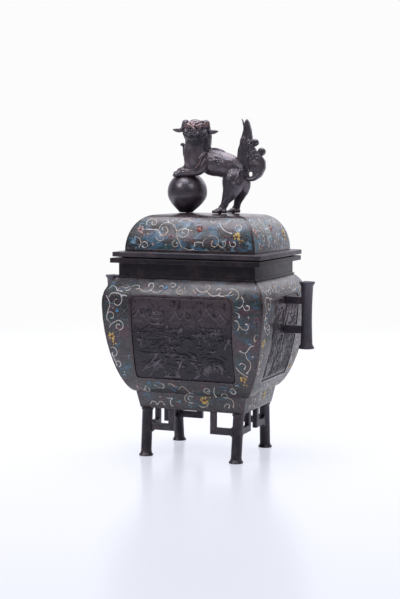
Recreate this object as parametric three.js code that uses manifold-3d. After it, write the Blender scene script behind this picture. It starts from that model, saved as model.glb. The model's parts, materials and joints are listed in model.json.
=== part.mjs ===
// A footed rectangular incense burner in bronze and enamel, with a lion on its lid.
// Millimetres, +Z up. The origin is on the table, midway between the four feet. The front faces -Y.
import * as THREE from "three";
import { mergeVertices } from "three/addons/utils/BufferGeometryUtils.js";
import Module from "manifold-3d";

const wasm = await Module();
wasm.setup();

// Driving sizes. Each level of the plan is a rectangle, given by its half width along X.
// Its half depth along Y is less by planStep.
const planStep = 16.2;
const cornerRadius = 1.6;
const cornerSteps = 2;
const seatGap = 0.3;

// Vessel: a skirt, a swelling belly and a shoulder that draws in to the mouth
const skirtBottomZ = 56;
const skirtBottomHalf = 64.4;
const skirtTopZ = 75;
const skirtTopHalf = 68.2;
const bellyZ = 178;
const bellyHalf = 98;
const mouthZ = 207.5;
const mouthHalf = 85.4;
const skirtSwell = 1.7;
const skirtSweep = 0.6;
const shoulderSweep = 2.5;
const bellySteps = 12;
const shoulderSteps = 6;
const vesselWall = 4.2;
const skirtFlangeWidth = 14;
const skirtFlangeThickness = 3.5;
const floorThickness = 3;
const floorLedge = 3;
const floorLedgeHeight = 3;
const floorRebate = 1;

// Picture panels, set in shallow pockets
const windowBottomZ = skirtTopZ + 18;
const windowTopZ = mouthZ - 19;
const frontWindowHalf = 61;
const sideWindowHalf = 44;
const windowCornerRadius = 5;
const pocketDepth = 2.6;
const panelThickness = 1.5;

// Collar: a neck with a bead at its base and a flat rim
const neckSetback = 2.3;
const neckHalf = mouthHalf - neckSetback;
const neckHeight = 17.3;
const neckWall = 4;
const neckBeadHeight = 2.4;
const neckBeadProud = 1.6;
const spigotDepth = 6;
const spigotWall = 3;
const spigotRelief = 2;
const rimOverhang = 7.7;
const rimHalf = neckHalf + rimOverhang;
const rimThickness = 5.4;
const rimBottomZ = mouthZ + neckHeight;
const rimTopZ = rimBottomZ + rimThickness;
const ledgeWidth = 4;
const ledgeThickness = 3;

// Ash liner, a sheet metal box that hangs in the neck
const linerWall = 1.2;
const linerRim = 3;
const linerPlay = 1;
const linerDepth = 88.8;

// Lid. It lies a little off centre, as far as the play of its lip lets it.
const lidShift = [1.6, 0.6];
const lidPlay = 2;
const lidReveal = 1.7;
const shoulderSeat = 2.9;
const flangeInset = 0.8;
const flangeHalf = rimHalf - flangeInset;
const flangeThickness = 6.1;
const flangeSlope = 0.9;
const lipDepth = 8;
const lipWall = 2.6;
const lipChamfer = [1, 2];
const domeMargin = 10.8;
const domeHalf = flangeHalf - domeMargin;
const domeRun = 27;
const domeHeight = 41;
const domeCrown = 1.7;
const crownMargin = 1;
const crownRise = [[0.8, 0.36], [0.55, 0.7], [0.25, 0.94]];
const domeSteps = 12;
const domeWall = 3;

// Legs and fretwork
const legInset = [7.9, 4.2];
const legSplay = [-0.7, 6];
const legTop = [skirtBottomHalf - legInset[0], skirtBottomHalf - planStep - legInset[1]];
const legFoot = [legTop[0] + legSplay[0], legTop[1] + legSplay[1]];
const legRadius = 6.2;
const footRadius = 8.4;
const footLip = 1.8;
const footNeck = 3.6;
const footRound = 0.4;
const legCollarRadius = 7.1;
const legCollarHeight = 2.4;
const legSides = 16;
const legTenonInset = 3.3;
const legTenonHeadRadius = 3.2;
const rootDepth = 1;
const fretBottomZ = 30;
const fretBar = 7.8;
const fretPost = 7;
const fretDepth = 6;
const fretReach = 34;
const fretGusset = 3;
const fretBevel = 0.8;

// Tube handles
const handleStandoff = 24;
const handleX = bellyHalf + handleStandoff;
const handleBottomZ = 128.3;
const handleTopZ = 205;
const handleEndRadius = 7;
const handleWaistRadius = 6;
const handleFlare = 2;
const handleLip = 1.4;
const handleBore = 4.4;
const handleSides = 20;
const handleSteps = 6;
const handleArmZ = [windowTopZ - 38.5, windowTopZ - 5];
const handleArmHeight = 8.4;
const handleArmDepth = 7;
const tenonRadius = 2.5;
const tenonHeadRadius = 4.5;
const tenonHead = 1.6;
const tenonBite = 2;
const roundSides = 12;

// Ball, lion and tail. Heights are measured up from the middle of the lid's top.
// The lion and its tail are drawn on a grid, and lionStep is the size of its squares.
const ballX = -27.5;
const ballRadius = 23.2;
const ballRise = 0.6;
const ballCentreHeight = ballRadius + ballRise;
const ballFootRadius = 8.2;
const ballFootHeight = 1.4;
const ballConeAngle = 46;
const ballSides = 24;
const ballSteps = 10;
const pawRise = 0.5;
const pawHeight = ballCentreHeight + ballRadius + pawRise;
const lionStep = 1;
const nearFoot = [18.5, -14];
const farFoot = [26, 10.5];
const limbSides = 10;
const lumpSides = 10;
const lumpRings = 8;
const knobSides = 8;
const knobRings = 6;
const tailThickness = 7.4;
const tailLockHalf = 4.7;
const tailEdge = 2.2;
const rivetRadius = 1.8;
const rivetHeadRadius = 4;
const rivetHead = 1.5;
const rivetDepth = 4;

const bronze = { color: 0x2b2829, roughness: 0.5, metalness: 0.85 };
const enamel = { color: 0x26414c, roughness: 0.32, metalness: 0.15 };
const darkRelief = { color: 0x242226, roughness: 0.55, metalness: 0.7 };
const copper = { color: 0x6a4334, roughness: 0.55, metalness: 0.9 };

// Rings of points

function rectangleRing(half, z, shift = [0, 0]) {
  const inX = half - cornerRadius;
  const inY = half - planStep - cornerRadius;
  const corners = [[inX, inY], [-inX, inY], [-inX, -inY], [inX, -inY]];
  return corners.flatMap(([x, y], corner) =>
    Array.from({ length: cornerSteps + 1 }, (_, step) => {
      const angle = (corner + step / cornerSteps) * (Math.PI / 2);
      return new THREE.Vector3(
        x + cornerRadius * Math.cos(angle) + shift[0],
        y + cornerRadius * Math.sin(angle) + shift[1],
        z,
      );
    }),
  );
}

function roundRing(centre, radius, sides) {
  return Array.from({ length: sides }, (_, i) => {
    const angle = (i / sides) * 2 * Math.PI;
    const [x, y, z] = centre;
    return new THREE.Vector3(x + radius * Math.cos(angle), y + radius * Math.sin(angle), z);
  });
}

// A skin over a row of rings. A closed row joins its last ring to its first, and an open one is capped.
function skin(rings, closed = false) {
  const count = rings[0].length;
  const points = rings.flat();
  const faces = [];
  const bands = closed ? rings.length : rings.length - 1;
  for (let band = 0; band < bands; band++) {
    const here = band * count;
    const next = ((band + 1) % rings.length) * count;
    for (let i = 0; i < count; i++) {
      const j = (i + 1) % count;
      faces.push(here + i, here + j, next + j, here + i, next + j, next + i);
    }
  }
  if (!closed) {
    const middle = points.push(centreOf(rings[0])) - 1;
    const last = points.push(centreOf(rings.at(-1))) - 1;
    const base = (rings.length - 1) * count;
    for (let i = 0; i < count; i++) {
      const j = (i + 1) % count;
      faces.push(middle, j, i, last, base + i, base + j);
    }
  }
  return facingOut(points, faces);
}

function centreOf(ring) {
  return ring.reduce((sum, p) => sum.add(p), new THREE.Vector3()).divideScalar(ring.length);
}

function facingOut(points, faces) {
  let volume = 0;
  for (let i = 0; i < faces.length; i += 3) {
    const [a, b, c] = [points[faces[i]], points[faces[i + 1]], points[faces[i + 2]]];
    volume += a.dot(b.clone().cross(c));
  }
  const order = volume < 0 ? faces.slice().reverse() : faces;
  const geometry = new THREE.BufferGeometry();
  const flat = new Float32Array(points.flatMap((p) => [p.x, p.y, p.z]));
  geometry.setAttribute("position", new THREE.BufferAttribute(flat, 3));
  geometry.setIndex(order);
  return geometry;
}

// A moulding that runs round the plan: its section is a list of half widths and heights.
function moulding(section, shift = [0, 0], closed = true) {
  return skin(section.map(([half, z]) => rectangleRing(half, z, shift)), closed);
}

// A turned piece whose section is a list of radii and heights
function turned(section, centre, sides) {
  const profile = section.map(([radius, z]) => new THREE.Vector2(radius, z));
  const geometry = new THREE.LatheGeometry(profile, sides);
  geometry.rotateX(Math.PI / 2);
  geometry.translate(...centre);
  return geometry;
}

// Solids

function toSolid(geometry) {
  const bare = geometry.clone();
  bare.deleteAttribute("normal");
  bare.deleteAttribute("uv");
  const merged = mergeVertices(bare, 1e-4);
  const corners = merged.index.array;
  const position = merged.attributes.position.array;
  const kept = [];
  for (let i = 0; i < corners.length; i += 3) {
    const [a, b, c] = [corners[i], corners[i + 1], corners[i + 2]];
    if (a !== b && b !== c && c !== a) kept.push(a, b, c);
  }
  return new wasm.Manifold(
    new wasm.Mesh({
      numProp: 3,
      vertProperties: new Float32Array(position),
      triVerts: new Uint32Array(kept),
    }),
  );
}

function toGeometry(solid) {
  const mesh = solid.getMesh();
  const geometry = new THREE.BufferGeometry();
  geometry.setAttribute("position", new THREE.BufferAttribute(new Float32Array(mesh.vertProperties), 3));
  geometry.setIndex(new THREE.BufferAttribute(new Uint32Array(mesh.triVerts), 1));
  return geometry;
}

function joined(geometries) {
  return geometries.map(toSolid).reduce((all, one) => all.add(one));
}

function outwardLathe(geometry) {
  const position = geometry.attributes.position;
  const points = Array.from({ length: position.count }, (_, i) =>
    new THREE.Vector3().fromBufferAttribute(position, i),
  );
  return facingOut(points, Array.from(geometry.index.array));
}

const model = new THREE.Group();

function addPiece(name, solid, material) {
  const geometry = solid.isBufferGeometry ? solid : toGeometry(solid);
  const mesh = new THREE.Mesh(geometry, new THREE.MeshStandardMaterial(material));
  mesh.name = name;
  model.add(mesh);
}

// Outline of the vessel

function bellyHalfAt(z) {
  if (z <= skirtTopZ) {
    const part = (z - skirtBottomZ) / (skirtTopZ - skirtBottomZ);
    return skirtBottomHalf + part * (skirtTopHalf - skirtBottomHalf);
  }
  if (z <= bellyZ) {
    const part = (z - skirtTopZ) / (bellyZ - skirtTopZ);
    const swell = (1 - (1 - part) ** skirtSwell) ** skirtSweep;
    return skirtTopHalf + swell * (bellyHalf - skirtTopHalf);
  }
  const part = Math.min((z - bellyZ) / (mouthZ - bellyZ), 1);
  return bellyHalf - part ** shoulderSweep * (bellyHalf - mouthHalf);
}

// Heights of the outline's rings, closer together where it curves most
function outlineHeights() {
  const lower = Array.from({ length: bellySteps + 1 }, (_, i) => {
    const part = (i / bellySteps) ** 2;
    return skirtTopZ + part * (bellyZ - skirtTopZ);
  });
  const upper = Array.from({ length: shoulderSteps }, (_, i) => {
    const part = Math.sin(((i + 1) / shoulderSteps) * (Math.PI / 2));
    return bellyZ + part * (mouthZ - bellyZ);
  });
  return [skirtBottomZ, ...lower, ...upper];
}

function vesselSolid(inset) {
  const rings = outlineHeights().map((z) => rectangleRing(bellyHalfAt(z) - inset, z));
  return toSolid(skin(rings));
}

// Windows for the picture panels

const sides = [
  { name: "front", turn: 0, half: frontWindowHalf },
  { name: "right", turn: Math.PI / 2, half: sideWindowHalf },
  { name: "back", turn: Math.PI, half: frontWindowHalf },
  { name: "left", turn: -Math.PI / 2, half: sideWindowHalf },
];

function roundedRectangle(halfWidth, bottom, top, radius) {
  const shape = new THREE.Shape();
  shape.moveTo(-halfWidth + radius, bottom);
  shape.lineTo(halfWidth - radius, bottom);
  shape.absarc(halfWidth - radius, bottom + radius, radius, -Math.PI / 2, 0);
  shape.lineTo(halfWidth, top - radius);
  shape.absarc(halfWidth - radius, top - radius, radius, 0, Math.PI / 2);
  shape.lineTo(-halfWidth + radius, top);
  shape.absarc(-halfWidth + radius, top - radius, radius, Math.PI / 2, Math.PI);
  shape.lineTo(-halfWidth, bottom + radius);
  shape.absarc(-halfWidth + radius, bottom + radius, radius, Math.PI, 1.5 * Math.PI);
  return shape;
}

// A prism that reaches outwards from the middle of the vessel through one of its sides
function windowPrism({ turn, half }, clearance) {
  const shape = roundedRectangle(
    half - clearance,
    windowBottomZ + clearance,
    windowTopZ - clearance,
    windowCornerRadius - clearance,
  );
  const reach = 2 * bellyHalf;
  const geometry = new THREE.ExtrudeGeometry(shape, {
    depth: reach,
    bevelEnabled: false,
    curveSegments: 4,
  });
  geometry.rotateX(Math.PI / 2);
  geometry.rotateZ(turn);
  return toSolid(geometry);
}

// Handle arms, with the tenons that hold them

const ends = [
  { name: "left", sign: -1 },
  { name: "right", sign: 1 },
];
const levels = [
  { name: "lower", z: handleArmZ[0] },
  { name: "upper", z: handleArmZ[1] },
];

function armBlock(sign, z, clearance) {
  const inner = bellyHalf - vesselWall - pocketDepth;
  const length = handleX - inner;
  const depth = handleArmDepth + 2 * clearance;
  const geometry = new THREE.BoxGeometry(length, depth, handleArmHeight + 2 * clearance);
  geometry.translate(sign * (inner + length / 2), 0, z);
  return toSolid(geometry);
}

function armTenon(sign, z, radius, from, to) {
  const geometry = new THREE.CylinderGeometry(radius, radius, to - from, roundSides);
  geometry.rotateZ(Math.PI / 2);
  geometry.translate(sign * ((from + to) / 2), 0, z);
  return toSolid(geometry);
}

// Where a flat head of the given radius can lie against the sloping inside of the wall
function innerWallAt(z, radius) {
  return Math.min(bellyHalfAt(z - radius), bellyHalfAt(z + radius)) - vesselWall;
}

function handleArm(sign, z) {
  const wallInside = innerWallAt(z, tenonHeadRadius) - seatGap;
  const body = armBlock(sign, z, 0)
    .subtract(vesselSolid(pocketDepth - seatGap))
    .subtract(handleSolid(sign, seatGap));
  const shank = armTenon(sign, z, tenonRadius, wallInside, handleX - handleEndRadius - tenonBite);
  const head = armTenon(sign, z, tenonHeadRadius, wallInside - tenonHead, wallInside);
  return body.add(shank).add(head);
}

// Tube handles: turned, hollow, and flared at both ends

function handleOutline(clearance) {
  const height = handleTopZ - handleBottomZ;
  const outline = [
    [handleEndRadius + handleFlare, 0],
    [handleEndRadius + handleFlare, handleLip],
  ];
  const shaftBottom = 2 * handleLip + handleFlare;
  const shaftTop = height - shaftBottom;
  for (let i = 0; i <= handleSteps; i++) {
    const part = i / handleSteps;
    const waist = Math.sin(part * Math.PI) * (handleEndRadius - handleWaistRadius);
    outline.push([handleEndRadius - waist, shaftBottom + part * (shaftTop - shaftBottom)]);
  }
  outline.push([handleEndRadius + handleFlare, height - handleLip]);
  outline.push([handleEndRadius + handleFlare, height]);
  return outline.map(([radius, z]) => [radius + clearance, handleBottomZ + z]);
}

function handleSolid(sign, clearance) {
  const outline = handleOutline(clearance);
  const section = [[0, handleBottomZ], ...outline, [0, handleTopZ]];
  return toSolid(outwardLathe(turned(section, [sign * handleX, 0, 0], handleSides)));
}

function handleTube(sign) {
  const bore = [
    [0, handleBottomZ - handleLip],
    [handleBore, handleBottomZ - handleLip],
    [handleBore, handleTopZ + handleLip],
    [0, handleTopZ + handleLip],
  ];
  const hole = toSolid(outwardLathe(turned(bore, [sign * handleX, 0, 0], handleSides)));
  return handleSolid(sign, 0).subtract(hole);
}

for (const { name, sign } of ends) {
  addPiece(`handle_tube_${name}`, handleTube(sign), bronze);
  for (const level of levels) {
    addPiece(`handle_arm_${name}_${level.name}`, handleArm(sign, level.z), bronze);
  }
}

// Legs, each turned, with a collar under the skirt and a tenon riveted over the skirt's flange

const corners = [
  { name: "front_left", x: -1, y: -1 },
  { name: "front_right", x: 1, y: -1 },
  { name: "back_right", x: 1, y: 1 },
  { name: "back_left", x: -1, y: 1 },
];
const legTopZ = skirtBottomZ - seatGap;
const flangeTopZ = skirtBottomZ + skirtFlangeThickness;

function legCentreAt(corner, z) {
  const part = Math.min(z / legTopZ, 1);
  return [
    corner.x * THREE.MathUtils.lerp(legFoot[0], legTop[0], part),
    corner.y * THREE.MathUtils.lerp(legFoot[1], legTop[1], part),
    z,
  ];
}

function legSolid(corner, clearance) {
  const collarBottom = legTopZ - legCollarHeight;
  const section = [
    [footRadius - footRound, 0],
    [footRadius, footLip / 2],
    [footRadius - footRound, footLip],
    [legRadius + 2 * footRound, footLip + footNeck / 4],
    [legRadius, footLip + footNeck],
    [legRadius, collarBottom - legCollarRadius + legRadius],
    [legCollarRadius, collarBottom],
    [legCollarRadius, legTopZ],
  ];
  const rings = section.map(([radius, z]) =>
    roundRing(legCentreAt(corner, z), radius + clearance, legSides),
  );
  return toSolid(skin(rings));
}

// The tenon stands off the leg's middle, towards the vessel's, to clear the skirt's wall.
function legTenon(corner, radius, from, to) {
  const x = corner.x * (legTop[0] - legTenonInset);
  const y = corner.y * (legTop[1] - legTenonInset);
  const rings = [from, to].map((z) => roundRing([x, y, z], radius, roundSides));
  return toSolid(skin(rings));
}

function leg(corner) {
  const headBottom = flangeTopZ + seatGap;
  return legSolid(corner, 0)
    .add(legTenon(corner, tenonRadius, legTopZ - rootDepth, headBottom + tenonHead))
    .add(legTenon(corner, legTenonHeadRadius, headBottom, headBottom + tenonHead));
}

// Fretwork: an L with a gusset, from each leg towards the middle of a side and up to the skirt.
// The long side's fret starts beside the short side's, which runs on to the leg.

function fretShape(start) {
  const top = skirtBottomZ - seatGap;
  const barTop = fretBottomZ + fretBar;
  const postInner = fretReach - fretPost;
  const gussetReach = legRadius + fretGusset;
  const shape = new THREE.Shape();
  shape.moveTo(start, fretBottomZ - fretGusset);
  shape.lineTo(legRadius, fretBottomZ - fretGusset);
  shape.lineTo(gussetReach, fretBottomZ);
  shape.lineTo(fretReach, fretBottomZ);
  shape.lineTo(fretReach, top);
  shape.lineTo(postInner, top);
  shape.lineTo(postInner, barTop);
  shape.lineTo(gussetReach, barTop);
  shape.lineTo(legRadius, barTop + fretGusset);
  shape.lineTo(start, barTop + fretGusset);
  return shape;
}

function fret(corner, alongX) {
  const start = alongX ? fretDepth / 2 + seatGap : 0;
  const geometry = new THREE.ExtrudeGeometry(fretShape(start), {
    depth: fretDepth - 2 * fretBevel,
    bevelEnabled: true,
    bevelThickness: fretBevel,
    bevelSize: fretBevel,
    bevelOffset: -fretBevel,
    bevelSegments: 1,
  });
  geometry.translate(0, 0, fretBevel - fretDepth / 2);
  geometry.rotateX(Math.PI / 2);
  const inwards = alongX ? (corner.x > 0 ? Math.PI : 0) : (-corner.y * Math.PI) / 2;
  geometry.rotateZ(inwards);
  geometry.translate(corner.x * legTop[0], corner.y * legTop[1], 0);
  return toSolid(geometry).subtract(legSolid(corner, seatGap));
}

for (const corner of corners) {
  addPiece(`leg_${corner.name}`, leg(corner), bronze);
  addPiece(`fret_${corner.name}_long`, fret(corner, true), bronze);
  addPiece(`fret_${corner.name}_short`, fret(corner, false), bronze);
}

// Vessel

function vessel() {
  const heights = outlineHeights();
  const outer = heights.map((z) => [bellyHalfAt(z), z]);
  const inner = heights
    .filter((z) => z > skirtTopZ + floorThickness)
    .map((z) => [bellyHalfAt(z) - vesselWall, z])
    .reverse();
  const ledgeTop = skirtTopZ;
  const ledgeHalf = skirtTopHalf - vesselWall - floorLedge;
  const section = [
    ...outer,
    ...inner,
    [skirtTopHalf - vesselWall + floorRebate, ledgeTop],
    [ledgeHalf, ledgeTop],
    [ledgeHalf, ledgeTop - floorLedgeHeight],
    [skirtTopHalf - vesselWall - floorRebate, ledgeTop - floorLedgeHeight - floorLedge],
    [skirtBottomHalf - vesselWall, flangeTopZ],
    [skirtBottomHalf - skirtFlangeWidth, flangeTopZ],
    [skirtBottomHalf - skirtFlangeWidth, skirtBottomZ],
  ];
  let solid = toSolid(moulding(section));
  const shell = vesselSolid(pocketDepth);
  for (const side of sides) solid = solid.subtract(windowPrism(side, 0).subtract(shell));
  for (const { sign } of ends) {
    for (const { z } of levels) {
      const from = innerWallAt(z, tenonHeadRadius) - vesselWall;
      solid = solid.subtract(armTenon(sign, z, tenonRadius + seatGap, from, handleX));
    }
  }
  for (const corner of corners) {
    const from = skirtBottomZ - seatGap;
    solid = solid.subtract(legTenon(corner, tenonRadius + seatGap, from, flangeTopZ + seatGap));
  }
  return solid;
}

function floorPlate() {
  const half = skirtTopHalf - vesselWall + floorRebate - seatGap;
  const bottom = skirtTopZ + seatGap;
  const rings = [bottom, bottom + floorThickness].map((z) => rectangleRing(half, z));
  return skin(rings);
}

function panel(side) {
  const face = vesselSolid(pocketDepth - seatGap - panelThickness);
  const back = vesselSolid(pocketDepth - seatGap);
  let solid = windowPrism(side, seatGap).intersect(face).subtract(back);
  for (const { name, sign } of ends) {
    if (name !== side.name) continue;
    for (const { z } of levels) solid = solid.subtract(armBlock(sign, z, seatGap));
  }
  return solid;
}

addPiece("vessel_shell", vessel(), enamel);
addPiece("vessel_floor", floorPlate(), bronze);
for (const side of sides) addPiece(`panel_${side.name}`, panel(side), darkRelief);

// Collar

const neckInnerHalf = neckHalf - neckWall;
const collarBottomZ = mouthZ + seatGap;
const ledgeTopZ = collarBottomZ + ledgeThickness;
const ledgeInnerHalf = neckInnerHalf - ledgeWidth;

function collar() {
  const spigotHalf = mouthHalf - vesselWall - seatGap;
  const beadTop = collarBottomZ + neckBeadHeight;
  const spigotBottom = collarBottomZ - spigotDepth;
  return moulding([
    [neckHalf + neckBeadProud, collarBottomZ],
    [neckHalf + neckBeadProud, beadTop],
    [neckHalf, beadTop],
    [neckHalf, rimBottomZ],
    [rimHalf, rimBottomZ],
    [rimHalf, rimTopZ],
    [neckInnerHalf, rimTopZ],
    [neckInnerHalf, ledgeTopZ],
    [ledgeInnerHalf, ledgeTopZ],
    [ledgeInnerHalf, collarBottomZ],
    [spigotHalf - spigotWall, collarBottomZ - spigotRelief],
    [spigotHalf - spigotWall, spigotBottom],
    [spigotHalf - lipChamfer[0], spigotBottom],
    [spigotHalf, spigotBottom + lipChamfer[1]],
    [spigotHalf, collarBottomZ],
  ]);
}

addPiece("collar", collar(), bronze);

// Ash liner

function ashLiner() {
  const half = ledgeInnerHalf - linerPlay;
  const top = ledgeTopZ + seatGap + linerWall;
  const bottom = ledgeTopZ - linerDepth;
  return moulding(
    [
      [half - linerWall, bottom + linerWall],
      [half - linerWall, top],
      [half + linerRim, top],
      [half + linerRim, top - linerWall],
      [half, top - linerWall],
      [half, bottom],
    ],
    [0, 0],
    false,
  );
}

addPiece("ash_liner", ashLiner(), copper);

// Lid: a flat flange with a locating lip, and an enamelled dome on it

const lidSeatZ = rimTopZ + seatGap;
const lidFlangeBottomZ = rimTopZ + lidReveal;
const lidFlangeTopZ = lidFlangeBottomZ + flangeThickness;
const domeBottomZ = lidFlangeTopZ + seatGap;
const domeTopZ = domeBottomZ + domeHeight;
const lidTopZ = domeTopZ + domeCrown;

function lidFlange() {
  const lipHalf = neckInnerHalf - lidPlay;
  const lipBottom = lidSeatZ - lipDepth;
  return moulding(
    [
      [flangeHalf, lidFlangeBottomZ],
      [flangeHalf, lidFlangeTopZ - flangeSlope],
      [domeHalf, lidFlangeTopZ],
      [lipHalf - lipWall, lidFlangeTopZ],
      [lipHalf - lipWall, lipBottom],
      [lipHalf - lipChamfer[0], lipBottom],
      [lipHalf, lipBottom + lipChamfer[1]],
      [lipHalf, lidSeatZ],
      [neckInnerHalf + shoulderSeat, lidSeatZ],
      [neckInnerHalf + shoulderSeat, lidFlangeBottomZ],
    ],
    lidShift,
  );
}

function domeSection(inset) {
  return Array.from({ length: domeSteps + 1 }, (_, i) => {
    const angle = (i / domeSteps) * (Math.PI / 2);
    const half = domeHalf - domeRun + (domeRun - inset) * Math.cos(angle);
    return [half, domeBottomZ + (domeHeight - inset) * Math.sin(angle)];
  });
}

// The top rises a little to its middle. The underside is flat there.
function dome() {
  const outside = domeSection(0).map(([half, z]) => rectangleRing(half, z, lidShift));
  const inside = domeSection(domeWall).map(([half, z]) => rectangleRing(half, z, lidShift)).reverse();
  const crownEnd = planStep + cornerRadius + crownMargin;
  const crown = crownRise.map(([part, rise]) => {
    const half = THREE.MathUtils.lerp(crownEnd, domeHalf - domeRun, part);
    return rectangleRing(half, domeTopZ + rise * domeCrown, lidShift);
  });
  let solid = toSolid(skin([...inside, ...outside, ...crown]));
  for (const [x, y] of rivetPlaces()) {
    const bottom = domeTopZ - 2 * domeWall;
    solid = solid.subtract(rivetShank([x, y], rivetRadius + seatGap, bottom, lidTopZ + domeWall));
  }
  return solid;
}

function rivetPlaces() {
  const feet = [nearFoot, farFoot].map((foot) => foot.map((place) => place * lionStep));
  return [[ballX, 0], ...feet].map(([x, y]) => [x + lidShift[0], y + lidShift[1]]);
}

function rivetShank([x, y], radius, from, to) {
  const rings = [from, to].map((z) => roundRing([x, y, z], radius, roundSides));
  return toSolid(skin(rings));
}

function rivet(place) {
  const underside = domeTopZ - domeWall - seatGap;
  const top = lidTopZ + rivetDepth;
  return rivetShank(place, rivetRadius, underside - rivetHead, top)
    .add(rivetShank(place, rivetHeadRadius, underside - rivetHead, underside));
}

addPiece("lid_flange", lidFlange(), bronze);
addPiece("lid_dome", dome(), enamel);
rivetPlaces().forEach((place, i) => {
  addPiece(["rivet_ball", "rivet_near_foot", "rivet_far_foot"][i], rivet(place), bronze);
});

// Ball, drawn in below to a short foot

const ballPlace = [ballX + lidShift[0], lidShift[1], lidTopZ];

function ballSolid(clearance) {
  const start = THREE.MathUtils.degToRad(ballConeAngle);
  const profile = [[0, seatGap], [ballFootRadius, seatGap], [ballFootRadius, ballFootHeight]];
  for (let i = 0; i <= ballSteps; i++) {
    const angle = -start + (i / ballSteps) * (start + Math.PI / 2);
    const radius = i === ballSteps ? 0 : (ballRadius + clearance) * Math.cos(angle);
    profile.push([radius, ballCentreHeight + (ballRadius + clearance) * Math.sin(angle)]);
  }
  return toSolid(outwardLathe(turned(profile, ballPlace, ballSides)));
}

// Lion. A limb is a skin over oval rings along a smooth path, rounded at both ends.
// Each station is a place, a half width across the path and a half height, in steps of the grid.
function limb(stations, steps = 2) {
  const path = new THREE.CatmullRomCurve3(stations.map(([x, y, h]) => onGrid(x, y, h)));
  const count = (stations.length - 1) * steps;
  const rings = [];
  const ringAt = (part, shrink, push) => {
    const centre = path.getPoint(part);
    const ahead = path.getTangent(part);
    const across = new THREE.Vector3(0, 1, 0).addScaledVector(ahead, -ahead.y).normalize();
    const up = new THREE.Vector3().crossVectors(ahead, across);
    const place = part * (stations.length - 1);
    const low = Math.min(Math.floor(place), stations.length - 2);
    const wide = lionStep * THREE.MathUtils.lerp(stations[low][3], stations[low + 1][3], place - low);
    const tall = lionStep * THREE.MathUtils.lerp(stations[low][4], stations[low + 1][4], place - low);
    const middle = centre.addScaledVector(ahead, push * Math.min(wide, tall));
    rings.push(
      Array.from({ length: limbSides }, (_, i) => {
        const angle = (i / limbSides) * 2 * Math.PI;
        return middle
          .clone()
          .addScaledVector(across, shrink * wide * Math.cos(angle))
          .addScaledVector(up, shrink * tall * Math.sin(angle));
      }),
    );
  };
  for (const angle of [80, 45]) {
    const turn = THREE.MathUtils.degToRad(angle);
    ringAt(0, Math.cos(turn), -Math.sin(turn));
  }
  for (let i = 0; i <= count; i++) ringAt(i / count, 1, 0);
  for (const angle of [45, 80]) {
    const turn = THREE.MathUtils.degToRad(angle);
    ringAt(1, Math.cos(turn), Math.sin(turn));
  }
  return skin(rings);
}

function onGrid(x, y, h) {
  return new THREE.Vector3(x, y, h).multiplyScalar(lionStep);
}

function lump(place, size, across = lumpSides, around = lumpRings) {
  const geometry = new THREE.SphereGeometry(1, across, around);
  geometry.scale(...onGrid(...size));
  geometry.translate(...onGrid(...place));
  return geometry;
}

function knob(place, size) {
  return lump(place, size, knobSides, knobRings);
}

const [nearX, nearY] = nearFoot;
const [farX, farY] = farFoot;
const pawH = pawHeight / lionStep;

function lionForms() {
  const torso = limb([[37, 0, 34, 11, 11], [31, 0, 44, 14, 17.5], [17, 0, 54, 13, 16], [1, 0, 58, 14, 16.5],
    [-13, -1, 60, 13.5, 14]]);
  const chest = limb([[-14, -2, 50, 12, 11], [-16, -2.5, 60, 14, 13.5], [-16, -3.5, 75, 14.5, 14],
    [-14.5, -4, 88, 13, 12.5]]);
  const nearHind = limb([[35, -8, 41, 8, 12.5], [30, nearY + 1.5, 29, 7.5, 9.8], [26.5, nearY, 18, 5.6, 6],
    [nearX + 5.5, nearY, 8, 4.8, 5]]);
  const farHind = limb([[36, 8, 38, 8, 12], [35.5, farY - 1, 27, 7.5, 9], [30, farY, 17, 5.6, 6],
    [farX + 3, farY, 8, 4.8, 5]]);
  const nearFore = limb([[2, -10, 62, 7, 9], [-2, -12, 52, 6, 6.5], [-10, -13, pawH, 5, 5],
    [-19, -12, pawH, 5.6, 4.8]]);
  const farFore = limb([[-21, 7, 60, 7, 8], [-25, 6, 51, 6, 6], [-33, 4, pawH, 5.6, 5.2],
    [-39, 3, pawH, 6.4, 5]]);
  return [torso, chest, nearHind, farHind, nearFore, farFore];
}

function lionFeet() {
  return [nearFoot, farFoot].map(([x, y]) => lump([x - 1, y, 4.4], [8, 6, 4.6]));
}

function lionHead() {
  const skull = lump([-14, -6, 93.5], [16, 14.5, 14.2]);
  const crown = lump([-14, -5, 99], [15, 11, 8.4]);
  const muzzle = lump([-12.5, -17, 89.5], [11, 8, 7]);
  const jaw = lump([-12.5, -14.5, 82], [10, 8, 5]);
  const nose = knob([-12.6, -24, 93.2], [4.4, 2.6, 2.8]);
  const brows = [-20.5, -5.5].map((x) => knob([x, -15.5, 100.5], [6.5, 4.4, 3]));
  const eyes = [-20, -4.8].map((x) => knob([x, -17.5, 96], [3.2, 2.8, 2.8]));
  const leftEar = limb([[-27, -4, 105, 3.4, 3.4], [-30.8, -4, 100.5, 3.2, 2.6], [-33.2, -4, 96, 3, 2.1],
    [-38, -4, 94.6, 2.8, 1.7], [-43.4, -4, 96.2, 1.4, 0.8]], 2);
  const rightEar = limb([[-1.5, -4, 104, 3.4, 3.4], [1.8, -4, 99, 3.2, 2.6], [4, -4, 94.2, 3, 2.1],
    [8, -4, 91.6, 2.8, 1.7], [13.2, -4, 92, 1.4, 0.8]], 2);
  const mane = [[-26, 2, 82], [-4, 1, 84], [-3, 2, 76], [-6, 8, 92], [-15, 9, 86], [-24, 8, 92]].map(
    (place) => knob(place, [5.6, 5.6, 5.6]),
  );
  const curl = limb([[-27, 1, 72.5, 2.6, 2.6], [-32, 0.5, 74.5, 2.3, 2.3], [-34, 0, 78, 2.3, 2.3]], 2);
  return [skull, crown, muzzle, jaw, nose, ...brows, ...eyes, leftEar, rightEar, ...mane, curl];
}

// Tail: a flat flame with two curled locks, let into the rump

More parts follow.
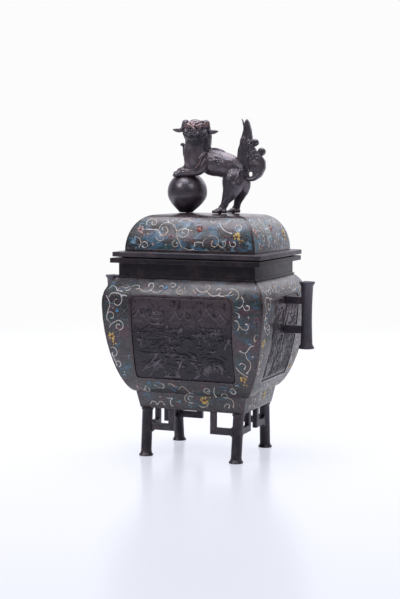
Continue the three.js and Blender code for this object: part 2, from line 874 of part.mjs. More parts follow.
const tailOutline = [
  [44, 37.5], [54, 36.9], [61.8, 40.6], [67.3, 48.2], [69, 56], [66.6, 63.4], [60.4, 68.6], [56.6, 74],
  [53.2, 80], [52.4, 88], [51, 97], [48.6, 104.5], [46, 107.6], [43.6, 102.5], [41.8, 94], [39, 85],
  [36.8, 77], [35.2, 68], [34.8, 57], [37, 45.5],
];
const tailStrand = [[43, 0, 94, 1.8, 1.8], [42.2, 0, 102, 1.3, 1.3], [39.8, 0, 107.8, 0.8, 0.8]];
const tailLocks = [[56.4, 80.8, 4.5], [64.4, 70.2, 4.9]];

function tailSolid(clearance) {
  const outline = new THREE.CatmullRomCurve3(
    tailOutline.map(([x, h]) => onGrid(x, h, 0)),
    true,
  );
  const shape = new THREE.Shape(outline.getPoints(2 * tailOutline.length).slice(1));
  const depth = tailThickness - 2 * tailEdge + 2 * clearance;
  const geometry = new THREE.ExtrudeGeometry(shape, {
    depth,
    bevelThickness: tailEdge,
    bevelSize: tailEdge / 2,
    bevelOffset: clearance - tailEdge / 2,
    bevelSegments: 2,
  });
  geometry.translate(0, 0, -depth / 2);
  geometry.rotateX(Math.PI / 2);
  const locks = tailLocks.map(([x, h, radius]) => {
    const size = radius + clearance;
    return knob([x, 0, h], [size, tailLockHalf + clearance, size]);
  });
  return joined([geometry, limb(tailStrand, 2), ...locks]);
}

function onLid(solid) {
  return solid.translate([lidShift[0], lidShift[1], lidTopZ + seatGap]);
}

function cutByLid(solid) {
  const block = new THREE.BoxGeometry(4 * domeHalf, 4 * domeHalf, domeHeight);
  block.translate(0, 0, lidTopZ + seatGap - domeHeight / 2);
  return solid.subtract(toSolid(block));
}

function rivetHole(place) {
  return rivetShank(place, rivetRadius + seatGap, lidTopZ - seatGap, lidTopZ + rivetDepth + seatGap);
}

function lion() {
  let solid = onLid(joined([...lionForms(), ...lionFeet(), ...lionHead()]).subtract(tailSolid(seatGap)));
  solid = cutByLid(solid).subtract(ballSolid(seatGap));
  for (const place of rivetPlaces().slice(1)) solid = solid.subtract(rivetHole(place));
  return solid;
}

addPiece("ball", ballSolid(0).subtract(rivetHole(rivetPlaces()[0])), bronze);
addPiece("lion", lion(), bronze);
addPiece("lion_tail", onLid(tailSolid(0)), bronze);

export default model;
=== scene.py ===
import json
import random
from math import cos, hypot, pi, radians, sin

import bmesh
import bpy
import numpy as np
from mathutils import Matrix, Vector, noise
from mathutils.bvhtree import BVHTree


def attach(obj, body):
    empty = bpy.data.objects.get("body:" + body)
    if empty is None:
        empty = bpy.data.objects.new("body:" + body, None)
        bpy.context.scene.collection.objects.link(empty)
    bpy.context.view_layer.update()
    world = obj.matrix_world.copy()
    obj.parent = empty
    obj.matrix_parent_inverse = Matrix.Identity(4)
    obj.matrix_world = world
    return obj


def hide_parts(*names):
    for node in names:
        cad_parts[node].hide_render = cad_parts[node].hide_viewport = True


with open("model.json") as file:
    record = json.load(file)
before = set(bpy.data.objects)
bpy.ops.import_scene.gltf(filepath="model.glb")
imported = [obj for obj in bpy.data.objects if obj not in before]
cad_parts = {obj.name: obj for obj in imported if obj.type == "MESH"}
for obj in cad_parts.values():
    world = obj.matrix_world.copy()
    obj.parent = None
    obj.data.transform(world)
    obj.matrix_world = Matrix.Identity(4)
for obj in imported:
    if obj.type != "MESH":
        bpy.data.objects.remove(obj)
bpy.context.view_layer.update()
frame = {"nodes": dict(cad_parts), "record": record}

# Camera and studio.
# The camera stands a metre and a half off, a little to the right of the front and above the lid's rim. A pale glossy
# floor runs on into a white room, which is bright behind the burner and dimmer in front of it and to its right.
mm = 0.001
camera_turn = radians(21.70)
camera_pitch = radians(5.40)
camera_roll = radians(0.28)
camera_distance = 1.58326
camera_height = 0.3281
focal_px = 1358.19
frame_height_px = 599
centre_px = (7.29, 1.12)
cool_white = (0.965, 0.96, 1.0)
far_white = (0.975, 0.975, 0.98, 1)
floor_radius = 6


def put_in(name, data):
    """A new object in the scene."""
    made = bpy.data.objects.new(name, data)
    bpy.context.scene.collection.objects.link(made)
    return made


forward = Matrix.Rotation(camera_turn, 3, "Z") @ Vector((0, cos(camera_pitch), -sin(camera_pitch)))
level = Matrix.Rotation(camera_turn, 3, "Z") @ Vector((1, 0, 0))
upward = level.cross(forward)
right = level * cos(camera_roll) + upward * sin(camera_roll)
up = upward * cos(camera_roll) - level * sin(camera_roll)

camera_data = bpy.data.cameras.new("camera")
camera_data.sensor_width = 36
camera_data.lens = focal_px * camera_data.sensor_width / frame_height_px
camera_data.shift_x = -centre_px[0] / frame_height_px
camera_data.shift_y = centre_px[1] / frame_height_px
camera_data.clip_end = 50
camera = put_in("camera", camera_data)
camera.matrix_world = Matrix((
    (right.x, up.x, -forward.x, camera_distance * sin(camera_turn)),
    (right.y, up.y, -forward.y, -camera_distance * cos(camera_turn)),
    (right.z, up.z, -forward.z, camera_height),
    (0, 0, 0, 1),
))
bpy.context.scene.camera = camera
bpy.context.scene.view_settings.view_transform = "Standard"


def softbox(name, place, target, size, power):
    data = bpy.data.lights.new(name, "AREA")
    data.shape = "RECTANGLE"
    data.size, data.size_y = size
    data.energy = power
    data.color = cool_white
    lamp = put_in(name, data)
    lamp.location = place
    lamp.rotation_euler = (Vector(target) - Vector(place)).to_track_quat("-Z", "Y").to_euler()


softbox("top_softbox", (-0.15, 0.35, 2.0), (0, 0, 0.2), (1.8, 1.5), 38)
softbox("front_softbox", (-0.15, -0.62, 1.75), (0, 0, 0.2), (1.0, 0.35), 6)
softbox("left_softbox", (-0.8, -1.18, 1.4), (0, 0, 0.3), (0.5, 0.5), 8)
softbox("right_softbox", (1.0, -0.9, 1.4), (0, 0, 0.3), (0.35, 0.35), 4)
softbox("back_softbox", (0.5, 1.5, 1.2), (0.1, 0.1, 0), (1.0, 1.0), 5)


def feed(tree, value, socket):
    if isinstance(value, bpy.types.NodeSocket):
        tree.links.new(value, socket)
    else:
        socket.default_value = value


def connect(tree, node, **inputs):
    for name, value in inputs.items():
        feed(tree, value, node.inputs[name.replace("_", " ")])


def add(tree, kind, settings=None, **inputs):
    node = tree.nodes.new("ShaderNode" + kind)
    for name, value in (settings or {}).items():
        setattr(node, name, value)
    connect(tree, node, **inputs)
    return node


def calc(tree, operation, *values):
    node = add(tree, "Math", {"operation": operation})
    for socket, value in zip(node.inputs, values):
        feed(tree, value, socket)
    return node.outputs[0]


def rise(tree, value, start, end, low=0.0, high=1.0):
    """A soft step from low to high while the value goes from start to end."""
    return add(tree, "MapRange", {"interpolation_type": "SMOOTHSTEP"}, Value=value, From_Min=start, From_Max=end,
               To_Min=low, To_Max=high).outputs[0]


def blend(tree, mask, under, over):
    node = add(tree, "Mix", {"data_type": "RGBA"})
    for name, value in (("Factor", mask), ("A", under), ("B", over)):
        socket = next(s for s in node.inputs if s.name == name and s.enabled)
        feed(tree, value if isinstance(value, (bpy.types.NodeSocket, float, int)) else (*value, 1), socket)
    return next(s for s in node.outputs if s.enabled)


def mixed_shader(tree, mask, under, over):
    mix = add(tree, "MixShader")
    for socket, value in zip(mix.inputs, (mask, under, over)):
        tree.links.new(value, socket)
    return mix.outputs[0]


def own_place(tree):
    return add(tree, "TexCoord").outputs["Object"]


def mottle(tree, place, scale, detail, roughness=0.5):
    return add(tree, "TexNoise", Vector=place, Scale=scale, Detail=detail, Roughness=roughness).outputs[0]


def length_of(tree, vector):
    return add(tree, "VectorMath", {"operation": "LENGTH"}, Vector=vector).outputs["Value"]


def node_material(name):
    material = bpy.data.materials.new(name)
    material.use_nodes = True
    tree = material.node_tree
    return material, tree, tree.nodes["Principled BSDF"]


def new_mesh(name, bm):
    mesh = bpy.data.meshes.new(name)
    bm.to_mesh(mesh)
    bm.free()
    return mesh


def room():
    world = bpy.data.worlds.new("room")
    world.use_nodes = True
    bpy.context.scene.world = world
    tree = world.node_tree
    tree.nodes.clear()
    direction = add(tree, "SeparateXYZ", Vector=add(tree, "TexCoord").outputs["Generated"]).outputs
    depth = calc(tree, "MULTIPLY_ADD", direction["X"], 0.12, direction["Y"])
    strength = calc(tree, "MULTIPLY", rise(tree, depth, -0.35, 0.90, 0.12, 1.40),
                    rise(tree, direction["Z"], 0.22, 0.55, 1.0, 0.3))
    strength = calc(tree, "MULTIPLY", strength, rise(tree, direction["X"], 0.0, 0.35, 1.0, 0.5))
    lit = add(tree, "Background", Color=(0.945, 0.935, 1.0, 1), Strength=strength).outputs[0]
    seen = add(tree, "Background", Color=far_white).outputs[0]
    by_camera = add(tree, "LightPath").outputs["Is Camera Ray"]
    add(tree, "OutputWorld", Surface=mixed_shader(tree, by_camera, lit, seen))


def floor():
    bm = bmesh.new()
    bmesh.ops.create_circle(bm, cap_ends=True, segments=64, radius=floor_radius)
    plane = put_in("floor", new_mesh("floor", bm))
    material, tree, surface = node_material("pale_floor")
    place = own_place(tree)
    away = add(tree, "SeparateXYZ", Vector=place).outputs["Y"]
    by_camera = add(tree, "LightPath").outputs["Is Camera Ray"]
    # For light that bounces off the floor, it is darker in front of the burner: painted shade for the dim front of
    # the room.
    floor_with_painted_front_shade = blend(tree, rise(tree, away, -0.80, -0.05), (0.45, 0.46, 0.50), (0.86, 0.87, 0.90))
    connect(tree, surface, Base_Color=blend(tree, by_camera, floor_with_painted_front_shade, (0.22, 0.22, 0.23)), Roughness=0.23, IOR=1.17,
            Emission_Color=(0.548, 0.568, 0.640, 1), Emission_Strength=by_camera)
    glow = add(tree, "Emission", Color=far_white).outputs[0]
    fade = calc(tree, "MULTIPLY", rise(tree, length_of(tree, place), 0.45, 1.5), by_camera)
    connect(tree, tree.nodes["Material Output"], Surface=mixed_shader(tree, fade, surface.outputs[0], glow))
    plane.data.materials.append(material)


room()
floor()

# Legs, frets, handles, neck, lid flange, floor plate and rivets.
# Each is bronze with a dark brown patina, rubbed redder where hands and cloths reach its edges. The handle tubes are
# paler and pitted, and the neck under the lid is nearly black: dark patina, with painted shade from the lid's
# overhang.
# Legs and handle arms are riveted from inside.
# Each piece is a copy of its solid with its edges eased, so that they catch the light.
edge_reach = 1.1 * mm
edge_ease = 0.3 * mm
crease = 38
flat_angle = 0.6
same_spot = 1e-6


def tint(r, g, b):
    """A colour as it is seen, 0 to 255, for a shader."""
    return tuple(c / 12.92 if c <= 0.04045 else ((c + 0.055) / 1.055) ** 2.4 for c in (r / 255, g / 255, b / 255))


def surface_group(name, colours, numbers):
    """A node group that takes colours and numbers, and puts out a colour, a roughness and a height."""
    group = bpy.data.node_groups.new(name, "ShaderNodeTree")
    for way, kind, names in (("INPUT", "Color", colours), ("INPUT", "Float", numbers), ("OUTPUT", "Color", ["Color"]),
                             ("OUTPUT", "Float", ["Roughness", "Height"])):
        for socket in names:
            group.interface.new_socket(socket, in_out=way, socket_type=f"NodeSocket{kind}")
    return group, group.nodes.new("NodeGroupInput").outputs


def used(tree, group, **inputs):
    """A node group placed in a material."""
    node = add(tree, "Group", {"node_tree": group})
    connect(tree, node, **inputs)
    return node.outputs


def bumped(tree, height, distance):
    return add(tree, "Bump", Height=height, Distance=distance).outputs[0]


def patina_group():
    """Bronze that is rubbed along its edges and in patches, and dusty in places, over a fine grain."""
    group, inside = surface_group("patina", ("Dark", "Worn", "Bloom"), ("Gloss",))
    place = own_place(group)
    blotch = mottle(group, place, 46, 6, 0.62)
    dust = mottle(group, place, 150, 5, 0.7)
    grain = mottle(group, place, 900, 3, 0.6)
    soft = add(group, "Bevel", {"samples": 6}, Radius=edge_reach).outputs[0]
    turn = add(group, "VectorMath", {"operation": "DOT_PRODUCT"}, Vector=soft)
    group.links.new(add(group, "NewGeometry").outputs["Normal"], turn.inputs[1])
    edge = rise(group, turn.outputs["Value"], 0.995, 0.90)
    ragged = calc(group, "MULTIPLY", edge, rise(group, dust, 0.32, 0.58))
    patch = calc(group, "MULTIPLY", rise(group, blotch, 0.44, 0.70), 0.55)
    brown = blend(group, calc(group, "MAXIMUM", ragged, patch), inside["Dark"], inside["Worn"])
    bloom = calc(group, "MULTIPLY", rise(group, dust, 0.52, 0.74), rise(group, blotch, 0.60, 0.40))
    colour = blend(group, calc(group, "MULTIPLY", bloom, 0.6), brown, inside["Bloom"])
    rough = calc(group, "MULTIPLY_ADD", dust, 0.34, inside["Gloss"])
    rough = calc(group, "SUBTRACT", rough, calc(group, "MULTIPLY", edge, 0.06))
    height = calc(group, "MULTIPLY_ADD", dust, 0.6, calc(group, "MULTIPLY", grain, 0.4))
    connect(group, group.nodes.new("NodeGroupOutput"), Color=colour, Roughness=rough, Height=height)
    return group


patina = patina_group()


def coat(tree, dark, worn, bloom, gloss):
    """The patina in three colours: in general, where it is rubbed, and where it has a dusty bloom."""
    return used(tree, patina, Dark=(*dark, 1), Worn=(*worn, 1), Bloom=(*bloom, 1), Gloss=gloss)


def bronze(name, dark, worn, bloom, gloss=0.24, bump=0.09 * mm, metallic=0.25, ior=1.75):
    """Patinated bronze. Where a mesh has a "tooled_and_painted_light" value, it is darker below zero, as patina in
    the cuts and as painted shade, and rubbed above it, which in places is a painted highlight.
    """
    material, tree, surface = node_material(name)
    skin = coat(tree, dark, worn, bloom, gloss)
    tooled_and_painted_light = add(tree, "Attribute", {"attribute_name": "tooled_and_painted_light"}).outputs["Fac"]
    # Below zero: patina in the cuts, and painted shade where the lion's mouth, beard and pupils and the tail's curls
    # are marked.
    sunk_and_painted_shade = rise(tree, tooled_and_painted_light, 0.0, -1.0)
    # Above zero: the rubbed colour, which on the lion's chest, strap and far forepaw is a painted highlight.
    colour = blend(tree, rise(tree, tooled_and_painted_light, 0.0, 1.0), skin["Color"], tint(122, 92, 88))
    connect(tree, surface, Base_Color=blend(tree, sunk_and_painted_shade, colour, tint(22, 20, 24)),
            Roughness=calc(tree, "MULTIPLY_ADD", sunk_and_painted_shade, 0.4, skin["Roughness"]),
            Normal=bumped(tree, skin["Height"], bump), Metallic=metallic, IOR=ior, Specular_Tint=(0.94, 0.91, 1.0, 1))
    return material


def body_of(node):
    bodies = frame["record"]["behaviour"]["bodies"]
    return next(body for body, nodes in bodies.items() if node in nodes)


def slot_of(node):
    return next(part["material_slot"] for part in frame["record"]["subparts"] if part["node"] == node)


def smooth_faces(bm):
    for face in bm.faces:
        face.smooth = True


def shade_by_angle(bm, degrees):
    smooth_faces(bm)
    for edge in bm.edges:
        edge.smooth = len(edge.link_faces) == 2 and edge.calc_face_angle() < radians(degrees)


def piece(name, bm, material, body, slot, *nodes):
    """A finished piece from a bmesh: it rides on a body, and stands for the nodes named."""
    made = put_in(name, new_mesh(name, bm))
    made.data.materials.append(material)
    if nodes:
        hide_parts(*nodes)
    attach(made, body)
    return made


def merged(node):
    """A bmesh copy of a node's solid, with its loose triangles joined."""
    bm = bmesh.new()
    bm.from_mesh(frame["nodes"][node].data)
    bmesh.ops.remove_doubles(bm, verts=bm.verts, dist=same_spot)
    return bm


def dressed(node, material):
    bm = merged(node)
    bmesh.ops.dissolve_limit(bm, angle_limit=radians(flat_angle), verts=bm.verts, edges=bm.edges)
    shade_by_angle(bm, crease)
    made = piece(f"{node}_finish", bm, material, body_of(node), slot_of(node), node)
    edges = made.modifiers.new("eased_edges", "BEVEL")
    edges.width = edge_ease
    edges.segments = 2
    edges.limit_method = "ANGLE"
    edges.angle_limit = radians(crease)


dark_bronze = bronze("dark_bronze", tint(45, 43, 52), tint(104, 88, 90), tint(80, 76, 84))
tube_bronze = bronze("tube_bronze", tint(74, 71, 80), tint(106, 97, 104), tint(122, 119, 127), bump=0.14 * mm)
for node in sorted(frame["nodes"]):
    if node.startswith("handle_tube"):
        dressed(node, tube_bronze)
    elif node.startswith(("leg_", "fret_", "handle_", "lid_flange", "vessel_floor", "rivet_")):
        dressed(node, dark_bronze)
# The neck's nearly black colour is dark patina with painted shade from the lid's overhang.
neck_bronze_with_painted_shade = bronze("neck_bronze_with_painted_shade", tint(26, 23, 28), tint(74, 60, 62), tint(52, 48, 55), metallic=0.1, ior=1.5)
dressed("collar", neck_bronze_with_painted_shade)

# Ash liner.
# It is a box of thin sheet copper, hung in the neck and dull with smoke.
liner_copper = bronze("liner_copper", tint(96, 64, 50), tint(140, 96, 74), tint(70, 66, 64), gloss=0.34)
dressed("ash_liner", liner_copper)

# Vessel shell and lid dome.
# Both are bronze castings with a sunk ground that is filled with dark enamel and ground flush. Bare bronze is left
# along every arris, round the picture windows, and at the mouth and the foot.
plan_step = 16.2 * mm
arris_strip = 2.6 * mm
window_half = (61 * mm, 44 * mm)
window_middle = 140.75 * mm
window_half_height = 47.75 * mm
window_corner = 5 * mm
window_strip = 2.8 * mm
lid_shift = (1.6 * mm, 0.6 * mm)
edge_blur = 0.25 * mm
edge_wobble = 1.6 * mm
grey_top = 23 * mm


def enamel_group():
    """Clouds of colour over a dark ground, with faint wires and specks, and then a veil of dusk or of grey."""
    group, inside = surface_group("enamel", (), ("Blue", "Grey", "Dusk"))
    place = own_place(group)

    def cloud(scale, detail, shift, roughness=0.6):
        moved = add(group, "Mapping", Vector=place, Location=(shift, shift * 0.7, -shift), Scale=(0.8, 0.8, 1.3))
        return mottle(group, moved.outputs[0], scale, detail, roughness)

    pull = calc(group, "MULTIPLY", inside["Blue"], 0.10)

    def pool(field, level, width):
        start = calc(group, "SUBTRACT", level, pull)
        return rise(group, field, start, calc(group, "ADD", start, width))

    def faint_wire(field, level):
        off = calc(group, "ABSOLUTE", calc(group, "SUBTRACT", field, level))
        return rise(group, off, 0.010, 0.004)

    curls = cloud(72, 1, 4.4)
    lines = calc(group, "MAXIMUM", faint_wire(curls, 0.47), faint_wire(curls, 0.58))
    speck = cloud(620, 4, 2.2, 0.75)
    colour = tint(44, 48, 44)
    for mask, over in (
            (rise(group, cloud(32, 4, 3.1), 0.42, 0.62), tint(64, 57, 61)),
            (pool(cloud(46, 4, 1.7), 0.53, 0.13), tint(38, 76, 82)),
            (rise(group, cloud(64, 3, 5.3), 0.54, 0.68), tint(88, 52, 66)),
            (pool(cloud(86, 4, 7.9), 0.60, 0.09), tint(66, 106, 132)),
            (pool(cloud(118, 3, 9.2), 0.66, 0.09), tint(128, 164, 186)),
            (calc(group, "MULTIPLY", lines, 0.6), tint(138, 132, 138)),
            (rise(group, speck, 0.54, 0.70, 0.0, 0.42), tint(112, 118, 120)),
            (rise(group, speck, 0.46, 0.34, 0.0, 0.75), tint(26, 28, 30)),
            (inside["Dusk"], tint(46, 41, 47)),
            (inside["Grey"], tint(110, 105, 108))):
        colour = blend(group, mask, colour, over)
    connect(group, group.nodes.new("NodeGroupOutput"), Color=colour,
            Roughness=rise(group, speck, 0.35, 0.65, 0.24, 0.46), Height=speck)
    return group


enamel = enamel_group()


def enamelled(name, shift, lowest, highest, greyest, blue, dusk, windows):
    """Enamel with bare bronze along its edges. It turns greyer towards the top, as far as greyest: grey wear, and
    painted light on the upper faces.
    """
    material, tree, surface = node_material(name)
    place = own_place(tree)
    centred = add(tree, "Mapping", Vector=place, Location=(-shift[0], -shift[1], 0)).outputs[0]
    axes = add(tree, "SeparateXYZ", Vector=centred).outputs
    across, deep, high = (calc(tree, "ABSOLUTE", axes["X"]), calc(tree, "ABSOLUTE", axes["Y"]), axes["Z"])
    side = calc(tree, "SUBTRACT", calc(tree, "SUBTRACT", across, deep), plan_step)
    wobble = calc(tree, "MULTIPLY", calc(tree, "SUBTRACT", mottle(tree, place, 180, 2), 0.5), edge_wobble)
    inland = calc(tree, "SUBTRACT", calc(tree, "ABSOLUTE", side), arris_strip)
    inland = calc(tree, "MINIMUM", inland, calc(tree, "SUBTRACT", high, lowest))
    inland = calc(tree, "MINIMUM", inland, calc(tree, "SUBTRACT", highest, high))
    if windows:
        on_side = calc(tree, "GREATER_THAN", side, 0.0)
        front_gap = calc(tree, "SUBTRACT", across, window_half[0] - window_corner)
        side_gap = calc(tree, "SUBTRACT", deep, window_half[1] - window_corner)
        gap = calc(tree, "ADD", calc(tree, "MULTIPLY", front_gap, calc(tree, "SUBTRACT", 1.0, on_side)),
                   calc(tree, "MULTIPLY", side_gap, on_side))
        lift = calc(tree, "SUBTRACT", calc(tree, "ABSOLUTE", calc(tree, "SUBTRACT", high, window_middle)),
                    window_half_height - window_corner)
        outer = add(tree, "CombineXYZ", X=calc(tree, "MAXIMUM", gap, 0.0), Y=calc(tree, "MAXIMUM", lift, 0.0))
        reach = calc(tree, "ADD", length_of(tree, outer.outputs[0]),
                     calc(tree, "MINIMUM", calc(tree, "MAXIMUM", gap, lift), 0.0))
        inland = calc(tree, "MINIMUM", inland, calc(tree, "SUBTRACT", reach, window_corner + window_strip))
    field = rise(tree, calc(tree, "ADD", inland, wobble), -edge_blur, edge_blur)
    skin = coat(tree, tint(54, 45, 48), tint(92, 79, 82), tint(90, 82, 85), 0.10)
    # Greyer towards the top: grey wear, and painted light on the upper faces.
    upper = rise(tree, high, highest - grey_top, greyest, 0.0, 0.6)
    grey = calc(tree, "MULTIPLY", upper, rise(tree, mottle(tree, place, 70, 5), 0.35, 0.6))
    glass = used(tree, enamel, Blue=blue, Dusk=dusk, Grey=grey)
    rough = add(tree, "MapRange", Value=field, To_Min=skin["Roughness"], To_Max=glass["Roughness"]).outputs[0]
    height = calc(tree, "MULTIPLY_ADD", glass["Height"], 0.5, calc(tree, "MULTIPLY", field, -0.6))
    connect(tree, surface, Base_Color=blend(tree, field, skin["Color"], glass["Color"]), Roughness=rough,
            Normal=bumped(tree, height, 0.28 * mm), IOR=1.65, Specular_Tint=(0.98, 0.94, 1.0, 1))
    return material


vessel_enamel = enamelled("vessel_enamel", (0, 0), lowest=58.4 * mm, highest=209 * mm, greyest=197 * mm, blue=0.36,
                          dusk=0.26, windows=True)
lid_enamel = enamelled("lid_enamel", lid_shift, lowest=240.6 * mm, highest=276.5 * mm, greyest=276.5 * mm, blue=0.90,
                       dusk=0.0, windows=False)
dressed("vessel_shell", vessel_enamel)
dressed("lid_dome", lid_enamel)

# Scroll wires.
# Thin pale bronze wires, bent into vines and curls, stand in the enamel and were ground nearly flush with it.
# Each is a row of points across the face and above the table, in millimetres; the other sides repeat them.
wire_radius = 0.7 * mm
wire_proud = 0.22 * mm
wire_step = 1.2
ray_start = -0.2
least_facing = 0.25
most_sideways = 0.2
dome_narrowing = 0.79
window_zone, narrow_zone, beside_shift = 61, 44.6, 16.4
body_vines = [
    [(-92, 188), (-90, 185), (-87, 178), (-90, 169), (-91, 163), (-87, 156)],
    [(-89, 185), (-86, 190), (-81, 191), (-75, 190), (-72, 186), (-73, 180), (-77, 177), (-81, 179), (-81, 183),
     (-78, 184)],
    [(-87, 156), (-91, 160), (-91, 165), (-88, 169), (-83, 168), (-83, 163), (-86, 162)],
    [(-89, 150), (-86, 155), (-81, 158), (-76, 160), (-71, 156), (-72, 151), (-76, 149), (-80, 152), (-79, 155),
     (-75, 155)],
    [(-74, 187), (-70, 189), (-66, 188)],
    [(-89, 127), (-85, 128), (-81, 124), (-83, 118), (-87, 118), (-87, 122)],
    [(-89, 121), (-86, 115), (-83, 106)],
    [(-85, 110), (-80, 112), (-78, 107), (-81, 105)],
    [(-90, 195), (-86, 199), (-81, 197), (-79, 194), (-72, 193)],
    [(-79, 194), (-75, 198), (-69, 197), (-63, 199), (-64, 195), (-68, 194)],
    [(-63, 198), (-59, 200), (-53, 200), (-52, 197), (-56, 196)],
    [(-52, 197), (-46, 194), (-39, 195), (-35, 199), (-37, 203), (-41, 202), (-41, 199)],
    [(-38, 196), (-32, 193), (-25, 195), (-23, 199), (-26, 201), (-28, 199)],
    [(-16, 202), (-14, 204), (-9, 203), (-10, 200), (-13, 200)],
    [(-7, 193), (-6, 197), (-3, 201)],
    [(-6, 195), (-1, 197), (2, 195), (0, 192), (-3, 193)],
    [(16, 200), (22, 196), (29, 196), (33, 200), (31, 203), (27, 202), (28, 199)],
    [(30, 197), (37, 192), (44, 193), (47, 197), (44, 200), (41, 198)],
    [(43, 193), (50, 192), (57, 194)],
    [(56, 200), (62, 200), (67, 197), (69, 192), (66, 189)],
    [(63, 195), (59, 193), (57, 195), (60, 198)],
    [(65, 182), (70, 180), (74, 183), (75, 188), (72, 192)],
    [(74, 183), (77, 178), (81, 178), (82, 182), (78, 183)],
    [(64, 166), (68, 165), (70, 160), (68, 155)],
    [(70, 160), (75, 156), (80, 157), (80, 162), (77, 162)],
    [(66, 175), (70, 173), (70, 169)],
    [(89, 151), (87, 147), (88, 143)],
    [(87, 139), (82, 137), (76, 130), (69, 132)],
    [(76, 130), (77, 124), (81, 119), (80, 112), (75, 106)],
    [(67, 115), (71, 118), (75, 115), (73, 111)],
    [(63, 113), (67, 108), (71, 105), (76, 102)],
    [(-64, 84), (-61, 78), (-56, 77), (-53, 80)],
    [(-54, 80), (-51, 83), (-48, 79), (-51, 75), (-54, 77)],
    [(-40, 86), (-36, 82), (-30, 82), (-28, 86), (-32, 88)],
    [(-11, 81), (-7, 85), (-3, 84), (0, 80), (2, 77)],
    [(1, 77), (-5, 74), (-7, 69), (-4, 66), (4, 65)],
    [(0, 68), (-3, 70), (0, 74), (3, 72)],
    [(27, 78), (22, 79), (20, 82), (23, 85), (27, 84), (27, 81), (24, 81)],
    [(34, 87), (32, 80), (32, 74)],
    [(38, 75), (42, 79), (47, 79), (45, 74), (41, 75)],
    [(44, 74), (50, 73), (53, 69), (52, 63)],
    [(52, 85), (56, 87), (59, 83), (56, 80), (53, 82)],
    [(-51, 60), (-48, 64), (-44, 63), (-42, 60), (-39, 64), (-35, 64), (-33, 60)],
    [(-31, 70), (-28, 69), (-22, 69)],
    [(-22, 69), (-25, 66), (-25, 61), (-22, 60)],
    [(41, 63), (44, 67), (48, 65), (46, 62)],
    [(-23, 87), (-19, 88), (-15, 85)],
    [(10, 63), (14, 61), (19, 62), (22, 66)],
]
lid_vines = [
    [(-56, 267), (-55, 273), (-49, 275), (-44, 272), (-45, 268), (-49, 269), (-49, 271)],
    [(-55, 263), (-46, 263), (-39, 262), (-36, 258), (-31, 257), (-27, 261), (-30, 266), (-35, 265), (-33, 262)],
    [(-39, 262), (-37, 268), (-30, 271), (-21, 268), (-16, 261)],
    [(-16, 261), (-15, 255), (-11, 249), (-8, 243)],
    [(-17, 252), (-20, 248), (-17, 244), (-13, 246), (-15, 249)],
    [(-16, 261), (-12, 264), (-4, 264), (3, 262)],
    [(-14, 258), (-9, 255), (-3, 257), (-2, 262), (-7, 265), (-10, 261), (-7, 259)],
    [(-41, 255), (-38, 251), (-33, 251), (-31, 255), (-35, 257), (-36, 254)],
    [(-27, 263), (-30, 256)],
    [(-62, 254), (-59, 248), (-61, 242)],
    [(-59, 247), (-54, 249), (-50, 245), (-54, 242), (-57, 244)],
    [(18, 245), (17, 250), (22, 256), (29, 258), (35, 254), (35, 248), (31, 245), (27, 248), (29, 252)],
    [(35, 249), (39, 245), (44, 246), (44, 251), (40, 251)],
    [(18, 249), (12, 250), (7, 249), (8, 245)],
    [(21, 274), (25, 271), (28, 273)],
    [(33, 273), (36, 268), (42, 263), (51, 260)],
    [(37, 270), (42, 271), (46, 274)],
    [(54, 264), (53, 268), (58, 270), (61, 266), (58, 263)],
    [(49, 252), (50, 247), (55, 246), (56, 250), (53, 251)],
    [(-6, 244), (0, 241), (7, 242)],
    [(-31, 274), (-29, 270)],
    [(-17, 271), (-12, 275), (-6, 275), (1, 272)],
]


def seen_faces(node):
    mesh = frame["nodes"][node].data
    return BVHTree.FromPolygons([v.co for v in mesh.vertices], [f.vertices for f in mesh.polygons])


class Sides:
    """Puts a place on one of the four sides of a node, by its distance across the side and its height."""

    def __init__(self, node, shift):
        self.tree = seen_faces(node)
        self.shift = Vector((*shift, 0))

    def at(self, quarter, across, height):
        """The spot and its normal, or nothing where the face turns away from the side."""
        turn = Matrix.Rotation(quarter * pi / 2, 3, "Z")
        start = turn @ Vector((across * mm, ray_start, height * mm)) + self.shift
        spot, normal = self.tree.ray_cast(start, turn @ Vector((0, 1, 0)))[:2]
        if spot is None:
            return None
        facing = normal.dot(turn @ Vector((0, -1, 0)))
        beside = normal.dot(turn @ Vector((1, 0, 0)))
        return (spot, normal) if facing > least_facing and abs(beside) < most_sideways else None


def softened(points, step=wire_step):
    """Points along a smooth line through the points given, about a step apart."""
    ends = [2 * Vector(points[0]) - Vector(points[1])] + [Vector(p) for p in points]
    ends.append(2 * Vector(points[-1]) - Vector(points[-2]))
    line = []
    for a, b, c, d in zip(ends, ends[1:], ends[2:], ends[3:]):
        count = max(2, int((c - b).length / step))
        for k in range(count):
            t = k / count
            line.append(0.5 * (2 * b + (c - a) * t + (2 * a - 5 * b + 4 * c - d) * t * t
                               + (3 * b - a - 3 * c + d) * t * t * t))
    return line + [Vector(points[-1])]


def moved_across(across, quarter, body):
    """The narrow sides take the same pattern, drawn in under the window and carried in beside it."""
    if quarter in (1, 3):
        if body == "lid":
            across *= dome_narrowing
        elif abs(across) < window_zone:
            across *= narrow_zone / window_zone
        else:
            across -= beside_shift if across > 0 else -beside_shift
    return -across if quarter in (2, 3) else across


